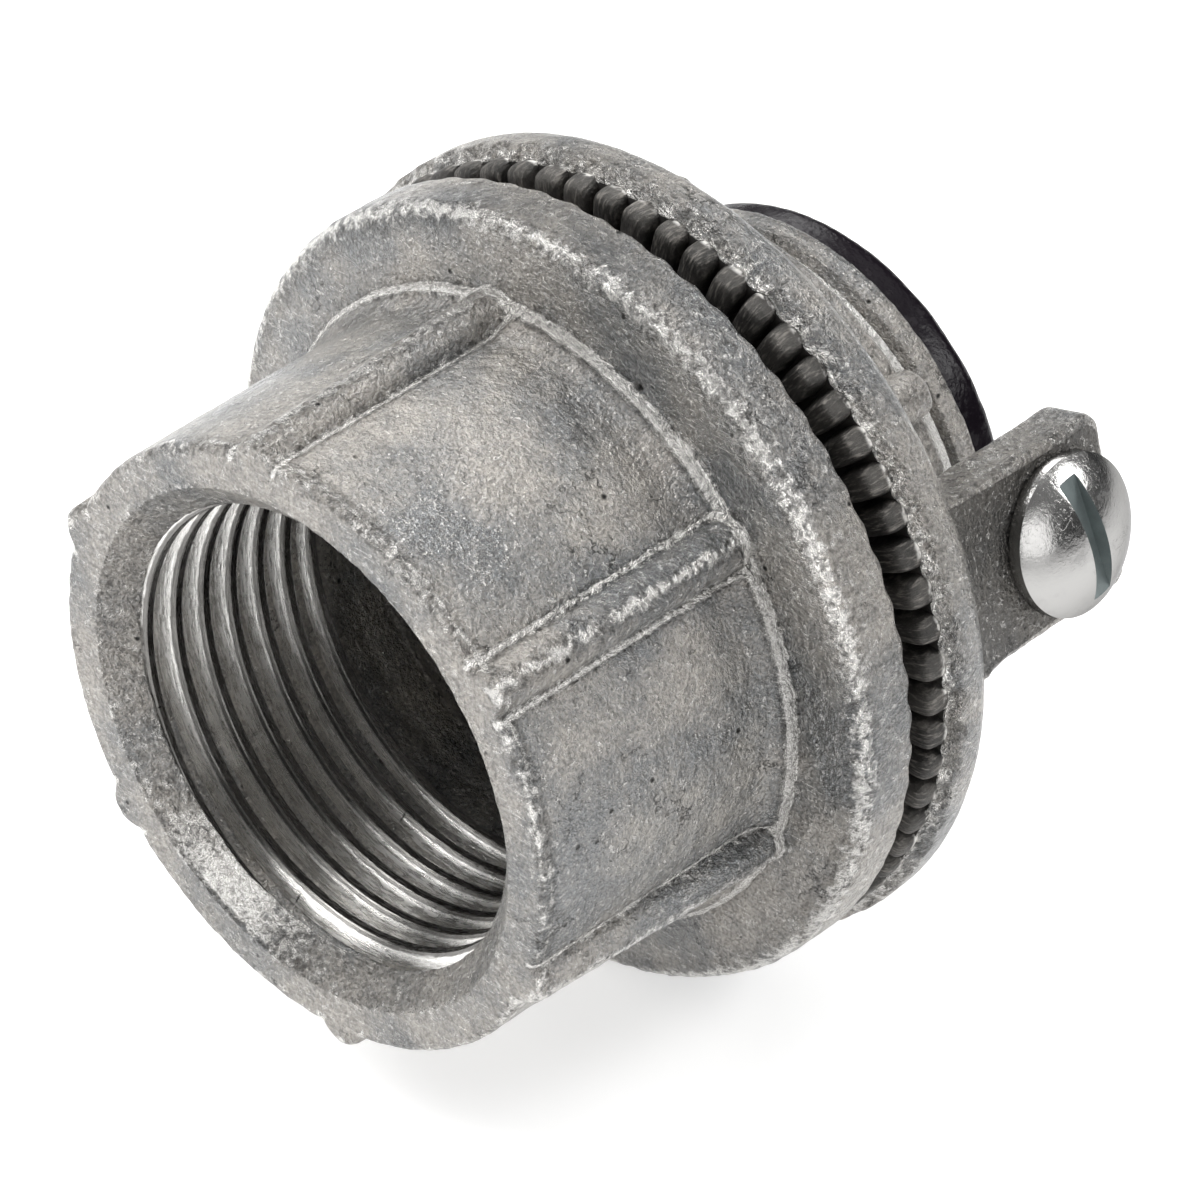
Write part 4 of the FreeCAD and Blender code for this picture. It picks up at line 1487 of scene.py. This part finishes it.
def throat_shell(sizes):
    """The insulating throat: a skirt in the nipple and a rounded lip over its end."""
    return ring_shell([
        Corner(sizes.bore, THROAT_LOW.y, 0.1 * MM, 0.0, 0.8 * MM),
        Corner(sizes.skirt_radius, THROAT_LOW.y),
        Corner(sizes.skirt_radius, NIPPLE_END, 0.0, 0.0, 0.6 * MM),
        Corner(THROAT_HIGH.x, NIPPLE_END, 0.1 * MM, 0.3, 0.25 * MM),
        Corner(THROAT_HIGH.x, THROAT_HIGH.y, sizes.lip_round, 0.6, 0.25 * MM),
        Corner(sizes.bore, THROAT_HIGH.y, sizes.lip_round, 0.4, 0.6 * MM),
    ], THROAT_STEPS)


def seal_shell(sizes):
    """The sealing ring that stands proud of its groove."""
    outer = SEAL_HIGH.x
    inner = outer - SEAL_WIDTH
    return ring_shell([
        Corner(inner, SEAL_LOW.y, 0.0, 0.0, 0.7 * MM),
        Corner(outer, SEAL_LOW.y, 0.0, 0.0, 0.7 * MM),
        Corner(outer, SEAL_HIGH.y, sizes.seal_edge, 0.2, 0.4 * MM),
        Corner(inner, SEAL_HIGH.y, sizes.seal_edge, 0.2, 0.7 * MM),
    ], SEAL_STEPS)


def screw_blank(sizes):
    """Mesh data of the turned screw without slot and thread, round Z, with its seat at zero."""
    cap = (sizes.head_radius ** 2 + sizes.head_dome ** 2) / (2 * sizes.head_dome)
    crown = sizes.head_side + sizes.head_dome
    widest = math.asin(sizes.head_radius / cap)
    tilts = [widest * t / DOME_STEPS for t in range(1, DOME_STEPS)]
    dome = [(cap * math.sin(a), crown - cap * (1 - math.cos(a))) for a in tilts]
    edge = 0.25 * MM
    eased = 0.02 * MM
    side = [
        (sizes.head_radius - eased, sizes.head_side - eased),
        (sizes.head_radius, sizes.head_side - edge),
        (sizes.head_radius, edge),
        (sizes.head_radius - 0.3 * edge, 0.3 * edge),
        (sizes.head_radius - edge, 0.0),
        (sizes.shank_radius, 0.0),
    ]
    tip = -sizes.shank_length
    shank = [
        (sizes.shank_root, -0.3 * MM),
        (sizes.shank_root, tip + 0.4 * MM),
        (sizes.shank_root - 0.35 * MM, tip),
    ]
    rings = dome + side + shank
    angles = even_angles(SCREW_STEPS)
    points = [(0.0, 0.0, crown), (0.0, 0.0, tip)]
    for radius, height in rings:
        points += [(radius * math.cos(a), radius * math.sin(a), height) for a in angles]
    last = 2 + (len(rings) - 1) * SCREW_STEPS
    faces = []
    for k in range(SCREW_STEPS):
        following = (k + 1) % SCREW_STEPS
        faces.append((0, 2 + k, 2 + following))
        faces.append((1, last + following, last + k))
        for ring in range(len(rings) - 1):
            a = 2 + ring * SCREW_STEPS
            b = a + SCREW_STEPS
            faces.append((a + k, b + k, b + following, a + following))
    return points, faces


# Operators

class HUB_OT_casting(bpy.types.Operator):
    """Build the die-cast hub with its ribs, flange and both pipe threads"""
    bl_idname = "conduit_hub.casting"
    bl_label = "Hub casting"

    def execute(self, context):
        sizes = context.scene.hub_sizes
        finishes = context.scene.hub_finishes
        groups = shared_groups()
        cast = cast_material(
            "hub_casting_zinc", groups, finishes, finishes.cast_light, finishes.cast_dark, HUB_PITS,
        )
        thread = thread_material(groups, finishes)
        hub = make_object("hub_casting", hub_shell(sizes), [cast])
        hub.data.set_sharp_from_angle(angle=HUB_SHARP)
        skin = shared_tree("Skin", skin_tree)
        ridge = shared_tree("Thread ridge", thread_ridge_tree)
        socket_start = MOUTH + sizes.mouth_chamfer - 0.45 * MM
        socket_end = MOUTH + sizes.socket_length - 0.9 * MM
        nipple_start = 1.6 * MM
        nipple_end = NIPPLE_END - sizes.nipple_plain - 0.6 * MM
        grow(hub, hub_tree(skin, ridge, cast, thread), {
            "Pitch": sizes.pitch,
            "Crest": sizes.thread_crest,
            "Root": sizes.thread_root,
            "Socket root": sizes.socket_root,
            "Socket height": sizes.socket_root - sizes.socket_crest,
            "Socket start": socket_start,
            "Socket turns": (socket_end - socket_start) / sizes.pitch,
            "Nipple root": sizes.nipple_root,
            "Nipple height": sizes.nipple_radius - sizes.nipple_root,
            "Nipple start": nipple_start,
            "Nipple turns": (nipple_end - nipple_start) / sizes.pitch,
        })
        place_piece(hub, "hub", "cast_zinc", "hub_body")
        return {"FINISHED"}


class HUB_OT_nut(bpy.types.Operator):
    """Build the grounding nut with its lugs, tab, ring of teeth and threaded bore"""
    bl_idname = "conduit_hub.nut"
    bl_label = "Grounding nut"

    def execute(self, context):
        sizes = context.scene.hub_nut
        thread_sizes = context.scene.hub_sizes
        finishes = context.scene.hub_finishes
        groups = shared_groups()
        cast = cast_material(
            "nut_casting_zinc", groups, finishes, finishes.cast_light, finishes.cast_dark, NUT_PITS,
        )
        # A darker copy of the zinc for the tab's outer face: painted shade
        shaded_copy = cast_material("tab_painted_shade_zinc", groups, finishes, finishes.tab_shade_light, finishes.tab_shade_dark, TAB_PITS)
        thread = bpy.data.materials["cut_thread"]
        tooth = shaded_tooth_material(groups, finishes)
        shell = joined(nut_shell(sizes), tab_shell(sizes))
        nut = make_object("nut_casting", shell, [cast, thread, tooth, shaded_copy])
        skin = shared_tree("Skin", skin_tree)
        ridge = shared_tree("Thread ridge", thread_ridge_tree)
        bore_start = NUT_FRONT + sizes.tooth_height + 0.9 * MM
        bore_length = sizes.rim_thickness + sizes.collar_length - 1.8 * MM
        grow(nut, nut_tree(skin, ridge, tooth, thread), {
            "Teeth": sizes.tooth_count,
            "Phase": sizes.tooth_phase,
            "Radius": sizes.tooth_radius,
            "Length": sizes.tooth_length,
            "Width": sizes.tooth_width,
            "Height": sizes.tooth_height + sizes.tooth_embed,
            "Front": NUT_FRONT,
            "Pitch": thread_sizes.pitch,
            "Crest": thread_sizes.thread_crest,
            "Root": thread_sizes.thread_root,
            "Bore root": sizes.bore_root,
            "Bore height": sizes.bore_root - sizes.bore,
            "Bore start": bore_start,
            "Bore turns": bore_length / thread_sizes.pitch,
        })
        place_piece(nut, "nut", "nut_zinc", "grounding_nut")
        return {"FINISHED"}


class HUB_OT_throat(bpy.types.Operator):
    """Build the black insulating throat"""
    bl_idname = "conduit_hub.throat"
    bl_label = "Insulating throat"

    def execute(self, context):
        sizes = context.scene.hub_throat
        plastic = plastic_material(shared_groups(), context.scene.hub_finishes)
        throat = make_object("insulating_lip", throat_shell(sizes), [plastic])
        grow(throat, throat_tree(shared_tree("Skin", skin_tree), plastic), {
            "Wave height": 0.4 * sizes.lip_wobble,
            "Wave size": 3.0 * MM,
            "Grain height": 0.01 * MM,
            "Ragged height": sizes.lip_wobble,
            "Ragged size": 1.6 * MM,
        })
        place_piece(throat, "hub", "black_plastic", "insulating_throat")
        return {"FINISHED"}


class HUB_OT_seal(bpy.types.Operator):
    """Build the sealing ring in the flange's groove"""
    bl_idname = "conduit_hub.seal"
    bl_label = "Sealing ring"

    def execute(self, context):
        rubber = rubber_material(shared_groups(), context.scene.hub_finishes)
        seal = make_object("seal", seal_shell(context.scene.hub_throat), [rubber])
        place_piece(seal, "hub", "seal_rubber", "sealing_ring")
        return {"FINISHED"}


class HUB_OT_screw(bpy.types.Operator):
    """Build the slotted ground screw in the tab"""
    bl_idname = "conduit_hub.screw"
    bl_label = "Ground screw"

    def execute(self, context):
        sizes = context.scene.hub_screw
        finishes = context.scene.hub_finishes
        groups = shared_groups()
        steel = screw_material(groups, finishes)
        slot = shaded_slot_material(groups, finishes)
        points, faces = screw_blank(sizes)
        mesh = bpy.data.meshes.new("screw")
        mesh.from_pydata(points, [], faces)
        mesh.materials.append(steel)
        screw = link_object("slotted_screw", mesh)
        start = 0.35 * MM - sizes.shank_length
        grow(screw, screw_tree(shared_tree("Thread ridge", thread_ridge_tree), steel, slot), {
            "Slot width": sizes.slot_width,
            "Slot floor": sizes.head_side + sizes.head_dome - sizes.slot_depth,
            "Slot reach": 4 * sizes.head_radius,
            "Root radius": sizes.shank_root,
            "Height": sizes.shank_radius - sizes.shank_root,
            "Pitch": sizes.pitch,
            "Turns": (-0.4 * MM - start) / sizes.pitch,
            "Start": start,
        })
        bevel = screw.modifiers.new("Slot edges", "BEVEL")
        bevel.limit_method = "WEIGHT"
        bevel.width = sizes.slot_edge
        bevel.segments = 2
        bake_modifiers(screw)
        smooth_faces(screw.data)
        screw.data.set_sharp_from_angle(angle=SCREW_SHARP)
        upright = Matrix((HUB_AXIS, TAB_TANGENT, TAB_AXIS)).transposed().to_4x4()
        slot_turn = Matrix.Rotation(sizes.slot_angle, 4, "Z")
        seat = TAB_AXIS * (TAB_FACE + sizes.head_seat) + HUB_AXIS * SCREW_PLACE
        screw.data.transform(Matrix.Translation(seat) @ upright @ slot_turn)
        place_piece(screw, "screw", "plated_steel", "ground_screw")
        return {"FINISHED"}


def add_floor(studio):
    """The pale floor under the part, with a glow of its own round the part."""
    half = studio.floor_size / 2
    level = NUT_LOW.z - 0.1 * MM
    mesh = bpy.data.meshes.new("floor")
    corners = [(-half, -half, level), (half, -half, level), (half, half, level), (-half, half, level)]
    mesh.from_pydata(corners, [], [(0, 1, 2, 3)])
    material, tree, shader, place = new_material("pale_floor", Roughness=0.8)
    tint = remap(tree, noise(tree, place, 0.02, 2.0), 0.3, 0.7)
    dimmer = [0.98 * c for c in studio.floor_colour]
    shade = mix(tree, tint, opaque(studio.floor_colour), opaque(dimmer))
    away = add(tree, "ShaderNodeVectorMath", {0: place}, operation="LENGTH").outputs["Value"]
    glow = remap(tree, away, GLOW_NEAR, GLOW_FAR, FLOOR_GLOW, 0.0)
    connect(tree, shader, Base_Color=shade, Emission_Color=shade, Emission_Strength=glow)
    mesh.materials.append(material)
    link_object("floor", mesh)


def add_camera(studio):
    """The camera at the photograph's viewing angle."""
    lens = bpy.data.cameras.new("camera")
    lens.lens = studio.camera_lens
    lens.clip_start = 10 * MM
    camera = link_object("camera", lens)
    camera.location = studio.camera_place
    camera.rotation_euler = (studio.camera_tilt, 0.0, studio.camera_turn)
    bpy.context.scene.camera = camera


def add_sky(studio):
    """Even light from all round, brighter from above."""
    world = bpy.data.worlds.new("studio")
    world.use_nodes = True
    tree = world.node_tree
    background = tree.nodes["Background"]
    direction = add(tree, "ShaderNodeTexCoord").outputs["Generated"]
    height = remap(tree, axes_of(tree, direction)["Z"], 0.1, 0.9)
    connect(tree, background, Color=mix(tree, height, opaque(studio.sky_low), opaque(studio.sky_high)))
    background.inputs["Strength"].default_value = studio.sky_strength
    bpy.context.scene.world = world


def add_lamp(name, place, target, size, watts):
    """A square soft box that faces a point."""
    lamp = bpy.data.lights.new(name, "AREA")
    lamp.shape = "SQUARE"
    lamp.size = size
    lamp.energy = watts
    made = link_object(name, lamp)
    made.location = place
    made.rotation_euler = (Vector(target) - Vector(place)).to_track_quat("-Z", "Y").to_euler()


class HUB_OT_stage(bpy.types.Operator):
    """Set up the pale floor, the soft light and the camera"""
    bl_idname = "conduit_hub.stage"
    bl_label = "Stage"

    def execute(self, context):
        studio = context.scene.hub_studio
        add_floor(studio)
        add_camera(studio)
        add_sky(studio)
        for lamp in LAMPS:
            add_lamp(*lamp)
        context.scene.view_settings.view_transform = "Standard"
        return {"FINISHED"}


class HUB_PT_panel(bpy.types.Panel):
    """Lists the pieces of the conduit hub"""
    bl_idname = "HUB_PT_panel"
    bl_label = "Conduit Hub"
    bl_space_type = "VIEW_3D"
    bl_region_type = "UI"
    bl_category = "Conduit Hub"

    def draw(self, context):
        column = self.layout.column()
        for operator in OPERATORS:
            column.operator(operator.bl_idname)


PROPERTIES = {
    "hub_sizes": HubSizes,
    "hub_nut": NutSizes,
    "hub_screw": ScrewSizes,
    "hub_throat": ThroatSizes,
    "hub_finishes": Finishes,
    "hub_studio": Studio,
}
OPERATORS = (HUB_OT_casting, HUB_OT_nut, HUB_OT_throat, HUB_OT_seal, HUB_OT_screw, HUB_OT_stage)
CLASSES = (*PROPERTIES.values(), *OPERATORS, HUB_PT_panel)


def register():
    for cls in CLASSES:
        bpy.utils.register_class(cls)
    for name, group in PROPERTIES.items():
        setattr(bpy.types.Scene, name, PointerProperty(type=group))


def unregister():
    for name in PROPERTIES:
        delattr(bpy.types.Scene, name)
    for cls in reversed(CLASSES):
        bpy.utils.unregister_class(cls)


def main():
    register()
    bpy.ops.conduit_hub.casting()
    bpy.ops.conduit_hub.nut()
    bpy.ops.conduit_hub.throat()
    bpy.ops.conduit_hub.seal()
    bpy.ops.conduit_hub.screw()
    bpy.ops.conduit_hub.stage()


if __name__ == "__main__":
    main()
